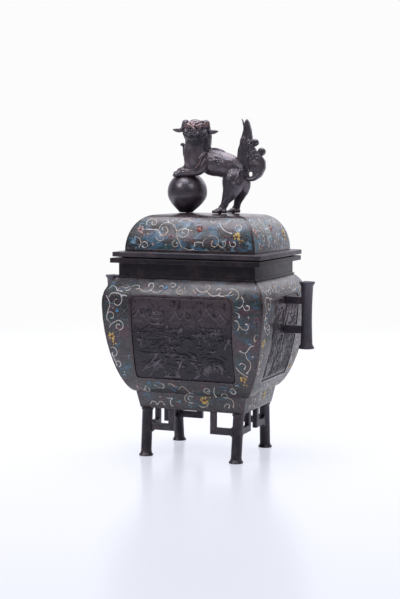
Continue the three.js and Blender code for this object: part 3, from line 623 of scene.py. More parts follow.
def wires(name, sides, vines, body):
    """Every vine on all four sides, a little thinner at its start and thicker at its end."""
    curve = bpy.data.curves.new(name, "CURVE")
    curve.dimensions = "3D"
    curve.bevel_depth = wire_radius
    curve.bevel_resolution = 1
    curve.use_fill_caps = True
    for quarter in range(4):
        for vine in vines:
            spots = []
            for across, height in softened(vine):
                found = sides.at(quarter, moved_across(across, quarter, body), height)
                if found:
                    spots.append(found[0] + found[1] * (wire_proud - wire_radius))
            if len(spots) < 4:
                continue
            spline = curve.splines.new("POLY")
            spline.points.add(len(spots) - 1)
            for k, (point, spot) in enumerate(zip(spline.points, spots)):
                point.co = (*spot, 1)
                left = len(spots) - 1 - k
                point.radius = min(1, 0.8 + 0.1 * k) if left > 2 else 1.0 + 0.12 * (3 - left)
    holder = put_in(name, curve)
    bpy.context.view_layer.update()
    bm = bmesh.new()
    bm.from_mesh(holder.to_mesh())
    holder.to_mesh_clear()
    bpy.data.objects.remove(holder)
    bmesh.ops.remove_doubles(bm, verts=bm.verts, dist=same_spot)
    smooth_faces(bm)
    bmesh.ops.recalc_face_normals(bm, faces=bm.faces)
    piece(name, bm, pale_wire, body, "enamel_ground")


def wire_material():
    material, tree, surface = node_material("pale_wire")
    place = own_place(tree)
    loss = mottle(tree, place, 120, 4)
    warm = mottle(tree, place, 45, 2)
    colour = blend(tree, rise(tree, warm, 0.42, 0.60), tint(226, 222, 220), tint(206, 190, 174))
    colour = blend(tree, rise(tree, loss, 0.56, 0.68), colour, tint(124, 112, 112))
    connect(tree, surface, Base_Color=colour, Roughness=rise(tree, loss, 0.4, 0.6, 0.35, 0.6), Metallic=0.1)
    return material


pale_wire = wire_material()
body_sides = Sides("vessel_shell", (0, 0))
lid_sides = Sides("lid_dome", lid_shift)
wires("vessel_scroll_wires", body_sides, body_vines, "vessel")
wires("lid_scroll_wires", lid_sides, lid_vines, "lid")

# Flowers and seed dots.
# Opaque enamel in yellow, rose, red, white and blue fills small cells among the vines. Each petal is a low blister.
# A flower is its place, its colour, its size and its number of petals; a dot has no petals.
body_flowers = [
    (-86, 141, "yellow", 5.5, 6), (-84, 133, "yellow", 3.5, 3), (-75, 99, "white", 1.1, 0), (-75, 88, "red", 1.2, 0),
    (-78, 171, "blue", 2.4, 0), (71, 99, "yellow", 4.6, 5), (72, 92, "yellow", 3.0, 2), (63, 91, "blue", 1.6, 0),
    (90, 168, "red", 1.2, 0), (81, 170, "white", 0.9, 0), (84, 126, "rose", 1.3, 0), (88, 145, "yellow", 2.2, 2),
    (17, 69, "yellow", 5.6, 6), (23, 73, "yellow", 3.0, 2), (-14, 88, "red", 1.3, 0), (-16, 62, "red", 1.2, 0),
    (61, 91, "white", 1.0, 0), (-38, 70, "rose", 1.4, 0), (36, 68, "red", 1.2, 0), (-46, 87, "blue", 2.0, 0),
    (15, 197, "white", 1.3, 0), (17, 194, "rose", 1.1, 0), (29, 197, "white", 1.2, 0), (-20, 199, "blue", 2.6, 0),
    (3, 199, "rose", 1.4, 0), (-44, 200, "red", 1.2, 0), (57, 193, "blue", 2.0, 0), (-83, 174, "white", 0.9, 0),
]
lid_flowers = [
    (-61, 263, "rose", 5.2, 6), (-58, 257, "rose", 3.4, 3), (11, 265, "red", 5.2, 7), (57, 257, "yellow", 5.8, 6),
    (62, 252, "yellow", 3.4, 3), (5, 250, "red", 1.3, 0), (-51, 258, "white", 1.2, 0), (-22, 256, "red", 1.3, 0),
    (-44, 246, "rose", 1.5, 0), (24, 265, "blue", 2.4, 0), (-24, 273, "white", 1.0, 0), (44, 256, "red", 1.2, 0),
    (0, 270, "blue", 2.0, 0), (-46, 257, "blue", 2.2, 0), (30, 250, "red", 1.0, 0), (-28, 246, "white", 1.0, 0),
]
petal_colours = {
    "yellow": (tint(222, 192, 108), tint(160, 124, 70)), "rose": (tint(214, 178, 172), tint(140, 100, 96)),
    "red": (tint(140, 50, 52), tint(86, 36, 38)), "white": (tint(214, 206, 196), tint(140, 132, 128)),
    "blue": (tint(86, 132, 170), tint(50, 84, 112)),
}
petal_height = 0.35 * mm
flower_seed = 41


def glaze(name, bright, dull):
    material, tree, surface = node_material(name)
    grime = mottle(tree, own_place(tree), 420, 4, 0.7)
    connect(tree, surface, Base_Color=blend(tree, rise(tree, grime, 0.44, 0.64), bright, dull),
            Roughness=rise(tree, grime, 0.4, 0.6, 0.22, 0.5), Normal=bumped(tree, grime, 0.1 * mm))
    return material


def blister(bm, spot, normal, turn, length, width):
    """One petal: a flattened ball sunk to its middle in the face."""
    facing = normal.to_track_quat("Z", "Y").to_matrix().to_4x4()
    shape = Matrix.Diagonal((length, width, petal_height, 1))
    placed = Matrix.Translation(spot) @ facing @ Matrix.Rotation(turn, 4, "Z") @ shape
    bmesh.ops.create_uvsphere(bm, u_segments=10, v_segments=6, radius=1, matrix=placed)


def blooms(sides, flowers, body):
    """The flowers and dots of one body, with a piece for each colour."""
    chance = random.Random(flower_seed)
    heaps = {colour: bmesh.new() for colour in petal_colours}
    for quarter in range(4):
        for across, height, colour, size, petals in flowers:
            across = moved_across(across, quarter, body)
            found = sides.at(quarter, across, height)
            if found and not petals:
                blister(heaps[colour], *found, chance.uniform(0, pi), size * mm, size * chance.uniform(0.75, 1) * mm)
            for k in range(petals):
                angle = 2 * pi * k / petals + chance.uniform(-0.25, 0.25)
                reach = size * chance.uniform(0.42, 0.66)
                spot = sides.at(quarter, across + reach * cos(angle), height + reach * sin(angle))
                length = size * chance.uniform(0.24, 0.40) * mm
                if spot:
                    blister(heaps[colour], *spot, angle + chance.uniform(-0.6, 0.6), length,
                            length * chance.uniform(0.6, 0.95))
            if found and petals > 2:
                heart = "yellow" if colour == "red" else "red"
                blister(heaps[heart], *found, 0, size * 0.2 * mm, size * 0.2 * mm)
    for colour, bm in heaps.items():
        if not bm.verts:
            bm.free()
            continue
        smooth_faces(bm)
        piece(f"{body}_petals_{colour}", bm, glazes[colour], body, "enamel_ground")


glazes = {colour: glaze(f"{colour}_enamel", *pair) for colour, pair in petal_colours.items()}
blooms(body_sides, body_flowers, "vessel")
blooms(lid_sides, lid_flowers, "lid")

# Relief panels.
# Each is a thin cast bronze plate, let into a pocket of the shell. It is chased with a landscape: far peaks, towers
# with stacked roofs, water, boats, banks and pines on the broad sides, and cliffs with pines and bamboo on the
# narrow ones.
panel_grain = 0.6
panel_inset = 0.25
plate_half_height = 47.5
broad_half_width = 60.7
narrow_half_width = 43.7
plain_border = 1.8
highest_wear = 0.92
back_rings = (1.0, 0.66, 0.33, 0.03)
relief_lift = 0.95 * mm
plate_thickness = 1.2 * mm


class Plate:
    """The height of a chased plate over a grid, in parts of relief_lift."""

    def __init__(self, half_wide, half_high, seed):
        self.across = np.arange(-half_wide, half_wide + panel_grain / 2, panel_grain)
        self.rise = np.arange(-half_high, half_high + panel_grain / 2, panel_grain)
        self.height = np.zeros((len(self.rise), len(self.across)))
        self.depth = relief_lift
        self.chance = random.Random(seed)

    def some(self, least, most):
        return self.chance.uniform(least, most)

    def line(self, points, width, lift=1.0):
        """A raised line through the points, round in section and ragged in its height."""
        for (x0, y0), (x1, y1) in zip(points, points[1:]):
            columns = slice(*np.searchsorted(self.across, (min(x0, x1) - width, max(x0, x1) + width)))
            rows = slice(*np.searchsorted(self.rise, (min(y0, y1) - width, max(y0, y1) + width)))
            x, y = np.meshgrid(self.across[columns], self.rise[rows])
            if not x.size:
                continue
            along = ((x - x0) * (x1 - x0) + (y - y0) * (y1 - y0)) / max((x1 - x0) ** 2 + (y1 - y0) ** 2, 1e-9)
            along = np.clip(along, 0, 1)
            away = np.hypot(x - x0 - along * (x1 - x0), y - y0 - along * (y1 - y0)) / width
            here = self.height[rows, columns]
            np.maximum(here, lift * np.sqrt(np.clip(1 - away ** 2, 0, 1)), out=here)

    def mound(self, x, y, wide, high, lift=0.5):
        """A low swelling: a bank, a rock or a clump of leaves."""
        grid_x, grid_y = np.meshgrid(self.across, self.rise)
        away = ((grid_x - x) / wide) ** 2 + ((grid_y - y) / high) ** 2
        self.height = np.maximum(self.height, lift * np.clip(1 - away, 0, 1) ** 0.7)

    def wander(self, x, y, heading, length, bend, width, lift=1.0, steps=7):
        """A hand-cut line that strays as it goes."""
        points = [(x, y)]
        for _ in range(steps):
            heading += self.some(-bend, bend)
            x += cos(heading) * length / steps
            y += sin(heading) * length / steps
            points.append((x, y))
        self.line(points, width, lift)
        return points

    def peaks(self, start, end, base, tall):
        """A range of far peaks, no two alike, each with cracks down its flanks."""
        x, outline = start, [(start, base)]
        while x < end - 5:
            wide = self.some(8, 19)
            high = tall * self.some(0.35, 1.0)
            lean = self.some(0.35, 0.7)
            self.mound(x + wide * lean, base - 1, wide * 0.5, high * 0.95, 0.4)
            for part, lift in ((0.3, 0.18), (0.5, 0.5), (0.7, 0.6), (0.88, 0.92), (1.0, 1.0)):
                outline.append((x + wide * lean * part, base + high * lift + self.some(-0.7, 0.7)))
            crest = outline[-1]
            for part, lift in ((0.2, 0.9), (0.4, 0.62), (0.62, 0.5), (1.0, 0.1)):
                outline.append((crest[0] + wide * (1 - lean) * part, base + high * lift + self.some(-0.7, 0.7)))
            for _ in range(4):
                self.wander(crest[0] + self.some(-0.25, 0.3) * wide, crest[1] - self.some(1, 4),
                            -pi / 2 + self.some(-0.7, 0.7), high * self.some(0.3, 0.7), 0.5, 0.6, 0.7, 4)
            x = outline[-1][0] + self.some(-1.0, 1.5)
        self.line(outline, 0.85, 1.0)

    def tower(self, x, y, size, storeys):
        """Each storey is a swept roof over a low wall."""
        for _ in range(storeys):
            self.line([(x - size, y + 0.2 * size), (x - 0.7 * size, y), (x + 0.7 * size, y),
                       (x + size, y + 0.2 * size)], 1.0, 1.0)
            self.line([(x - 0.55 * size, y + 0.17 * size), (x + 0.55 * size, y + 0.17 * size)], 1.1, 0.8)
            self.line([(x - 0.2 * size, y + 0.34 * size), (x + 0.2 * size, y + 0.34 * size)], 1.0, 0.9)
            self.line([(x - 0.5 * size, y - 0.3 * size), (x + 0.5 * size, y - 0.3 * size)], 1.2, 0.5)
            y += 0.85 * size
            size *= 0.84

    def water(self, x0, x1, y0, y1, count):
        for _ in range(count):
            x, y = self.some(x0, x1), self.some(y0, y1)
            self.wander(x, y, self.some(-0.12, 0.12), self.some(5, 13), 0.35, 0.48, self.some(0.45, 0.85))

    def boat(self, x, y, size):
        self.line([(x - size, y + 0.3 * size), (x - 0.6 * size, y), (x + 0.6 * size, y), (x + size, y + 0.4 * size)],
                  0.9)
        self.line([(x - 0.3 * size, y + 0.2 * size), (x, y + 0.75 * size), (x + 0.35 * size, y + 0.2 * size)], 0.6)

    def pine(self, x, y, tall, lean):
        trunk = self.wander(x, y, pi / 2 + lean, tall, 0.22, 1.1, 1.0)
        for k in range(2, len(trunk)):
            for side in (-1, 1):
                if self.chance.random() < 0.75:
                    bough = self.wander(*trunk[k], pi / 2 - side * self.some(1.0, 1.5), tall * self.some(0.25, 0.42),
                                        0.3, 0.6, 0.9)
                    self.needles(*bough[-1], tall * 0.13)

    def needles(self, x, y, size):
        self.mound(x, y, size * 1.15, size * 0.6, 0.45)
        for k in range(9):
            angle = pi * (k + 0.5) / 9
            self.line([(x, y - size * 0.3), (x + size * cos(angle) * 1.15, y + size * 0.75 * sin(angle))], 0.42, 0.85)

    def bank(self, x, y, wide, high):
        self.mound(x, y, wide, high, 0.45)
        for _ in range(int(wide * 0.9)):
            angle = self.some(0.1, pi - 0.1)
            part = self.some(0.35, 0.9)
            self.wander(x + wide * part * cos(angle), y + high * part * sin(angle), self.some(-0.5, 0.5),
                        self.some(3, 8), 0.5, 0.55, self.some(0.6, 1.0))

    def cliff(self, x, y, wide, tall):
        """An upright rock face, cut with long broken cracks."""
        self.mound(x, y + tall / 2, wide * 0.7, tall * 0.62, 0.42)
        for _ in range(int(wide * 1.5)):
            start = y + tall * self.some(0.25, 1.0)
            self.wander(x + self.some(-0.6, 0.6) * wide, start, -pi / 2 + self.some(-0.5, 0.5),
                        tall * self.some(0.18, 0.42), 0.5, self.some(0.5, 0.85), self.some(0.55, 1.0))

    def bamboo(self, x, y, tall, lean):
        stem = self.wander(x, y, pi / 2 + lean, tall, 0.08, 0.6, 0.9)
        for spot in stem[3:]:
            for _ in range(4):
                self.wander(*spot, self.some(-1.2, 0.4) + (pi if self.chance.random() < 0.5 else 0), 6.5,
                            0.12, 0.55, 0.9, 3)

    def roughened(self):
        """Sand-cast grain all over, and the highest parts worn flat."""
        start = self.some(0, 60)
        rough = [[sum(amount * noise.noise(Vector((x / size, y / size, start)))
                      for size, amount in ((9.0, 0.14), (3.2, 0.16), (1.5, 0.14))) for x in self.across]
                 for y in self.rise]
        return np.clip(self.height, 0, highest_wear) + np.array(rough)


def broad_picture(seed):
    plate = Plate(broad_half_width - panel_inset, plate_half_height - panel_inset, seed)
    flip = -1 if seed % 2 else 1
    plate.peaks(-14, 20, 22, 12)
    plate.peaks(22, 57, 24, 14)
    plate.peaks(-58, -41, 25, 6)
    plate.tower(-29 * flip, 17, 7.5, 3)
    plate.tower(20 * flip, 6, 5.5, 1)
    plate.bank(-30 * flip, 8, 20, 7)
    plate.bank(20 * flip, -1, 19, 6)
    for x, y, tall in ((-50, -8, 14), (-40, -6, 12), (-14, -2, 13), (-4, 2, 11), (34, -4, 14), (44, 0, 13),
                       (52, -8, 12)):
        plate.pine(x * flip, y, tall, plate.some(-0.4, 0.4))
    for _ in range(14):
        plate.bank(plate.some(-54, 54), plate.some(-14, 10), plate.some(4, 9), plate.some(2, 4))
    plate.water(-56, 46, -18, 16, 40)
    plate.boat(-8 * flip, -9, 5)
    plate.boat(36 * flip, -12, 4)
    plate.bank(-34 * flip, -36, 30, 12)
    plate.bank(36 * flip, -42, 28, 12)
    for x, y, heading, long in ((-52, -38, 0.62, 34), (-44, -44, 0.75, 26), (-12, -46, 1.15, 24),
                                (-10, -22, 0.12, 26), (10, -46, 0.6, 30), (-48, -18, -0.05, 40),
                                (22, -44, 1.2, 22), (-30, -46, 0.3, 24)):
        for _ in range(2):
            limb = plate.wander((x + plate.some(0, 2)) * flip, y, pi * (flip < 0) + heading * flip, long, 0.16,
                                1.3, 1.0, 9)
            for spot in limb[3::3]:
                twig = plate.wander(*spot, plate.some(-0.4, 2.4), long * 0.24, 0.4, 0.8, 0.9, 4)
                plate.needles(*twig[-1], 2.4)
    plate.bamboo(40 * flip, -45, 24, -0.2)
    plate.bamboo(48 * flip, -44, 20, 0.25)
    plate.bamboo(30 * flip, -45, 18, 0.1)
    plate.water(-24, 34, -44, -18, 14)
    return plate


def narrow_picture(seed):
    plate = Plate(narrow_half_width - panel_inset, plate_half_height - panel_inset, seed)
    plate.depth = 1.3 * relief_lift
    plate.cliff(-24, -40, 24, 66)
    plate.cliff(24, -44, 22, 56)
    plate.cliff(2, -46, 18, 40)
    plate.peaks(-2, 40, 29, 11)
    plate.peaks(-40, -22, 31, 8)
    plate.pine(-30, 6, 24, -0.3)
    plate.pine(-8, -6, 26, 0.4)
    plate.pine(30, -6, 24, 0.1)
    for _ in range(34):
        plate.wander(plate.some(-38, 38), plate.some(-30, 36), -pi / 2 - plate.some(0.0, 0.5),
                     plate.some(9, 24), 0.3, plate.some(1.1, 2.2), plate.some(0.7, 1.0), 6)
    plate.bamboo(8, -42, 30, 0.15)
    plate.bamboo(-36, -42, 28, 0.2)
    plate.bamboo(36, -42, 26, -0.25)
    plate.water(-2, 24, -14, 6, 12)
    plate.bank(0, -44, 40, 9)
    return plate


def relief_material():
    """Dark bronze with painted top light, lighter towards the top; its raised parts are rubbed paler, which also
    stands as painted highlights, and its ground is darker.
    """
    material, tree, surface = node_material("relief_bronze")
    skin = coat(tree, tint(21, 19, 28), tint(48, 41, 47), tint(38, 36, 48), 0.14)
    raised = add(tree, "Attribute", {"attribute_name": "relief"}).outputs["Fac"]
    place = own_place(tree)
    patches = mottle(tree, place, 85, 4)
    high = add(tree, "SeparateXYZ", Vector=place).outputs["Z"]
    # Painted top light: the upper part of each panel is lighter, as if lit from above.
    painted_top_light = calc(tree, "MULTIPLY", rise(tree, high, 140 * mm, 184 * mm, 0.0, 0.95),
                 rise(tree, patches, 0.1, 0.6, 0.6, 1.0))
    colour = blend(tree, painted_top_light, skin["Color"], tint(90, 78, 84))
    # Raised parts rubbed paler, which also stands as painted highlights on the strokes.
    worn = calc(tree, "MULTIPLY", rise(tree, raised, 0.70, 0.92, 0.0, 0.6), rise(tree, patches, 0.36, 0.64))
    colour = blend(tree, worn, colour, tint(122, 114, 122))
    colour = blend(tree, rise(tree, raised, 0.02, -0.16), colour, tint(24, 22, 28))
    connect(tree, surface, Base_Color=colour, Roughness=skin["Roughness"],
            Normal=bumped(tree, skin["Height"], 0.12 * mm), Metallic=0.25, IOR=1.6,
            Specular_Tint=(0.96, 0.90, 1.0, 1))
    return material


def chased_panel(node, quarter, plate):
    """The plate's face follows the solid's, raised by the picture, and its plain back lies in the pocket."""
    tree = seen_faces(node)
    turn = Matrix.Rotation(quarter * pi / 2, 3, "Z")
    inward = turn @ Vector((0, 1, 0))
    heights = plate.roughened()
    rows, columns = heights.shape
    middle = window_middle / mm
    beside = 0.6 * plate.across[0] * mm
    profile = []
    for lift in plate.rise:
        spot = tree.ray_cast(turn @ Vector((beside, ray_start, (middle + lift) * mm)), inward)[0]
        profile.append((turn.inverted() @ spot).y)
    bm = bmesh.new()
    bmesh.ops.create_grid(bm, x_segments=columns - 1, y_segments=rows - 1, size=0.5)
    layer = bm.verts.layers.float.new("relief")
    corner = window_corner / mm
    half_wide, half_high = plate.across[-1], plate.rise[-1]
    for vert in bm.verts:
        column = round((vert.co.x + 0.5) * (columns - 1))
        row = round((vert.co.y + 0.5) * (rows - 1))
        u, v = plate.across[column], plate.rise[row]
        edge = min(half_wide - abs(u), half_high - abs(v))
        picture = heights[row, column] * min(edge / plain_border, 1)
        du, dv = abs(u) - (half_wide - corner), abs(v) - (half_high - corner)
        if du > 0 and dv > 0:
            squeeze = max(du, dv) / hypot(du, dv)
            u = (half_wide - corner + du * squeeze) * (1 if u > 0 else -1)
            v = (half_high - corner + dv * squeeze) * (1 if v > 0 else -1)
        vert[layer] = picture
        deep = np.interp(v, plate.rise, profile)
        vert.co = turn @ Vector((u * mm, deep - picture * plate.depth, (middle + v) * mm))
    size = 1.0
    for smaller in back_rings:
        rim = [edge for edge in bm.edges if edge.is_boundary]
        for vert in bmesh.ops.extrude_edge_only(bm, edges=rim)["geom"]:
            if isinstance(vert, bmesh.types.BMVert):
                spot = turn.inverted() @ vert.co
                v = (spot.z / mm - middle) * smaller / size
                deep = np.interp(v, plate.rise, profile) + plate_thickness
                vert.co = turn @ Vector((spot.x * smaller / size, deep, (middle + v) * mm))
        size = smaller
    bmesh.ops.edgeloop_fill(bm, edges=[edge for edge in bm.edges if edge.is_boundary])
    bmesh.ops.recalc_face_normals(bm, faces=bm.faces)
    smooth_faces(bm)
    piece(f"{node}_relief", bm, relief_bronze, "vessel", "relief_bronze", node)


relief_bronze = relief_material()
for node, quarter, picture, seed in (("panel_front", 0, broad_picture, 12), ("panel_back", 2, broad_picture, 27),
                                     ("panel_right", 1, narrow_picture, 5), ("panel_left", 3, narrow_picture, 8)):
    chased_panel(node, quarter, picture(seed))

# Ball.
# A cast bronze ball, waxed dark, stands on a short foot that is riveted to the lid from inside.
finial_bronze = bronze("finial_bronze", tint(57, 49, 58), tint(110, 90, 94), tint(95, 89, 100), gloss=0.20,
                       bump=0.05 * mm, ior=2.2)
lid_top = 281.3
finial_base = Vector((lid_shift[0] / mm, lid_shift[1] / mm, lid_top))
ball_middle = Vector((-27.5, 0, 23.8))
ball_radius = 23.2
ball_foot = ((7.8, 0, 0), (10.2, 0, 2.6), (12.8, 0, 5.0), (15.2, 0, 7.4), (18.5, 0, 11.2), (21.1, 0, 15.4),
             (22.7, 0, 19.4), (23.2, 0, 23.8))
ball_lean, lean_height = 1.6, 19
ball_rings, ball_steps, ball_crease = 24, 72, 40


def turned_ball():
    """Half of the ball's outline, from the foot's middle to the top, spun round. The foot leans to the left."""
    bm = bmesh.new()
    outline = [(0.0, 0.0)] + [(spot.x, spot.z) for spot in softened(ball_foot, 1.0)]
    for k in range(1, ball_rings):
        angle = pi / 2 * k / ball_rings
        outline.append((ball_radius * cos(angle), ball_middle.z + ball_radius * sin(angle)))
    outline.append((0, ball_middle.z + ball_radius))
    chain = [bm.verts.new((r, 0, h)) for r, h in outline]
    edges = [bm.edges.new(pair) for pair in zip(chain, chain[1:])]
    bmesh.ops.spin(bm, geom=chain + edges, cent=(0, 0, 0), axis=(0, 0, 1), angle=2 * pi, steps=ball_steps,
                   use_merge=True)
    bmesh.ops.remove_doubles(bm, verts=bm.verts, dist=same_spot / mm)
    for vert in bm.verts:
        vert.co.x -= ball_lean * max(0, 1 - vert.co.z / lean_height) ** 1.5
    bmesh.ops.translate(bm, verts=bm.verts, vec=finial_base + Vector((ball_middle.x, ball_middle.y, 0)))
    bmesh.ops.scale(bm, verts=bm.verts, vec=(mm, mm, mm))
    bmesh.ops.recalc_face_normals(bm, faces=bm.faces)
    shade_by_angle(bm, ball_crease)
    return bm


piece("ball_turned", turned_ball(), finial_bronze, "lid", "finial_bronze", "ball")

# Lion.
# It is one bronze casting, modelled in wax: rolled and pinched forms run into each other, and the face, the mane and
# the spine are then cut and raised with a tool. It stands on two hind feet, with its forepaws on the ball.
# Places are in millimetres over the lid's top, and a rolled form is a row of places, each with its radius.
clay_grain = 0.6
stroke_step = 0.8
ball_gap = 0.15
uneven, uneven_size = 0.55, 6.5
eye_place = camera.matrix_world.translation / mm - finial_base
head_frame = (Matrix.Translation((-12.8, -11.0, 95.0)) @ Matrix.Rotation(radians(12), 4, "Z")
              @ Matrix.Diagonal((0.88, 1, 1, 1)))
upright = Matrix.Identity(4)


def lump(clay, place, radii, within=upright, turn=0.0, dip=0.0):
    shape = Matrix.Rotation(turn, 4, "Z") @ Matrix.Rotation(dip, 4, "Y") @ Matrix.Diagonal((*radii, 1))
    clay.append(within @ Matrix.Translation(place) @ shape)


def roll(clay, stations, spread=(1, 1, 1), within=upright, step=1.1):
    """A rolled form, smooth through its stations of place and radius."""
    for spot in softened(stations, step):
        lump(clay, spot[:3], [spot[3] * part for part in spread], within)


def paw(clay, place, heading, drop=0.0, size=1.0):
    """A broad paw with four toes that spread from it."""
    middle = Vector(place)
    lump(clay, middle, (5.6 * size, 4.6 * size, 3.3 * size), turn=heading)
    for lean, reach in ((-0.95, 4.2), (-0.34, 5.5), (0.30, 5.6), (0.90, 4.4)):
        way = Matrix.Rotation(heading + lean, 3, "Z") @ Vector((1, 0, 0))
        toe = middle + way * reach * size + Vector((0, 0, -0.9 * size - drop))
        lump(clay, toe, (3.1 * size, 1.75 * size, 2.1 * size), turn=heading + lean * 0.8, dip=0.25 + drop * 0.1)


def trunk_and_legs(clay):
    """Trunk, chest, hind legs, forelegs, spine, neck and shoulder fold, and lumps that fill out the far side."""
    roll(clay, [(-4, -3, 60, 13.2), (6, -1, 57.4, 15.2), (16, -0.5, 55.6, 14.5), (26, 0, 52.4, 14.6),
                (34, 0.5, 46, 14.8)], spread=(1, 0.84, 1))
    roll(clay, [(-12.2, -8, 90, 12.4), (-12.6, -8, 82, 13.2), (-14.6, -8, 73, 13.6), (-15.6, -8, 64, 13.0),
                (-15.2, -8, 57, 11.6), (-14.4, -8, 52, 9.6)], spread=(1, 0.88, 1))
    roll(clay, [(33, -5, 42, 13.0), (32.2, -7, 36, 13.2), (31.4, -8, 30, 11.6), (29.6, -9.5, 24, 9.0),
                (27.0, -11, 18, 6.6), (25.2, -12.5, 13.5, 5.2), (23.6, -13.5, 9, 4.6), (21.6, -14.6, 5.2, 4.8)],
         spread=(1, 0.74, 1))
    roll(clay, [(36, 4, 42, 12.0), (38, 6, 35, 10.6), (37.8, 7.2, 29, 9.6), (36.0, 8.4, 23, 7.4),
                (33.6, 9.4, 17.5, 5.8), (31.8, 10, 12.5, 5.0), (30.6, 10.4, 8, 4.4), (28.8, 10.5, 4.6, 4.6)],
         spread=(1, 0.78, 1))
    paw(clay, (18.8, -17.0, 2.7), radians(208))
    paw(clay, (26.4, 9.6, 2.3), radians(188))
    lump(clay, (24.6, -15.0, 2.0), (3.4, 3.4, 3.0))
    lump(clay, (32.0, 10.2, 2.0), (3.2, 3.2, 3.0))
    roll(clay, [(-3.5, -9, 64, 7.5), (-2.6, -12, 58, 6.8), (-3.4, -13.8, 51.5, 5.6), (-8, -14.2, 47.6, 4.6),
                (-15, -13.8, 46.5, 4.2), (-22, -13.4, 46.3, 4.4), (-28, -13.2, 46.0, 4.8)])
    paw(clay, (-31.0, -13.0, 45.4), radians(178), drop=1.0, size=1.1)
    roll(clay, [(-22.6, -3, 62, 6.6), (-24.6, -4, 56.5, 5.4), (-27.2, -4.4, 51.8, 4.3), (-32.0, -4.6, 48.8, 4.2)])
    paw(clay, (-33.8, -4.6, 47.6), radians(176), drop=0.7, size=1.08)
    roll(clay, [(1.0, -1.4, 73.6, 1.5), (8, -1.2, 73.4, 1.9), (15, -1.0, 71.4, 1.9), (21, -0.8, 68.6, 1.6),
                (27, -0.4, 65.6, 1.2), (33, 0, 61.6, 1.0)])
    roll(clay, [(-11.0, -2.0, 94, 9.6), (-9.0, -2.0, 88, 10.4), (-7.6, -2.6, 81, 10.6), (-6.8, -3.4, 73, 10.4)],
         spread=(1, 0.86, 1))
    roll(clay, [(0.4, -13.6, 68.4, 1.7), (-2.2, -16.6, 63.2, 2.0), (-4.0, -17.6, 59.6, 2.0), (-6.4, -18.0, 55.6, 1.9),
                (-9.1, -18.0, 52.8, 1.7), (-12.4, -17.4, 50.6, 1.3)])
    lump(clay, (12.5, 8.8, 58.5), (8, 5, 8))
    lump(clay, (-1, 8.2, 60), (7.5, 5.5, 10))


def face_forms(clay):
    """Skull, muzzle, jaw, chin and nose, and on each side the temple, the cheek, the lip, the eye and the brow."""
    def head(place, radii):
        lump(clay, place, radii, head_frame)

    def fold(*stations):
        roll(clay, stations, within=head_frame)

    head((0, 1, 1.5), (14.6, 11.5, 10.2))
    head((0.3, -2.5, 7.2), (9.6, 7.6, 5.4))
    head((0, 5, -2), (12.5, 10, 12))
    head((-0.5, -8.2, -3.6), (8.8, 5.8, 5.0))
    head((-0.5, -6.4, -9.6), (8.6, 5.6, 3.6))
    head((-0.5, -9.0, -11.0), (4.6, 3.2, 2.5))
    head((-0.6, -12.6, 0.0), (3.7, 2.7, 2.5))
    head((-0.6, -10.4, 3.2), (2.5, 2.8, 3.4))
    for side in (-1, 1):
        head((side * 12.4, -0.5, 6.6), (4.6, 5.2, 4.8))
        head((side * 10.6, -4.0, -3.6), (6.2, 5.8, 6.2))
        head((side * 4.4 - 0.5, -10.8, -4.4), (4.4, 3.6, 2.9))
        head((side * 2.9 - 0.6, -11.6, -0.6), (1.9, 2.0, 1.7))
        head((side * 7.0 + 0.2, -8.8, 0.7), (2.9, 2.4, 2.4))
        head((side * 2.1 - 0.5, -9.3, 6.4), (2.0, 1.9, 2.4))
        fold((side * 2.6, -10.2, 3.6, 1.4), (side * 5.4, -10.2, 4.2, 1.8), (side * 8.6, -9.2, 5.6, 2.0),
             (side * 12.4, -6.2, 6.0, 1.5))
        fold((side * 4.2, -9.4, 7.6, 1.5), (side * 7.6, -8.0, 9.0, 1.7), (side * 10.8, -5.2, 9.4, 1.4))
        fold((side * 13.6, -4.5, -8.4, 1.6), (side * 9.0, -8.4, -8.0, 1.3), (side * 4.5, -11.2, -9.2, 1.2),
             (-0.4, -12.0, -9.8, 1.2))


def ears(clay):
    for side, drop in ((-1, 0.0), (1, -2.0)):
        roll(clay, [(side * 12.6, 1.5, 9.0, 3.2), (side * 15.0, 1.5, 9.0 + drop * 0.3, 3.0),
                    (side * 16.4, 1.2, 6.0 + drop * 0.5, 2.7), (side * 17.4, 0.4, 2.4 + drop * 0.8, 2.3),
                    (side * 19.6, 0.0, 0.0 + drop, 2.4)], spread=(1, 1.25, 1), within=head_frame, step=0.9)
        roll(clay, [(side * 19.0, 0.0, 0.2 + drop, 2.4), (side * 22.6, -0.6, -0.2 + drop, 2.6),
                    (side * 26.0, -0.6, 0.1 + drop, 2.3), (side * 30.4, 0.0, 0.8 + drop, 0.6)],
             spread=(1, 0.62, 1), within=head_frame, step=0.7)


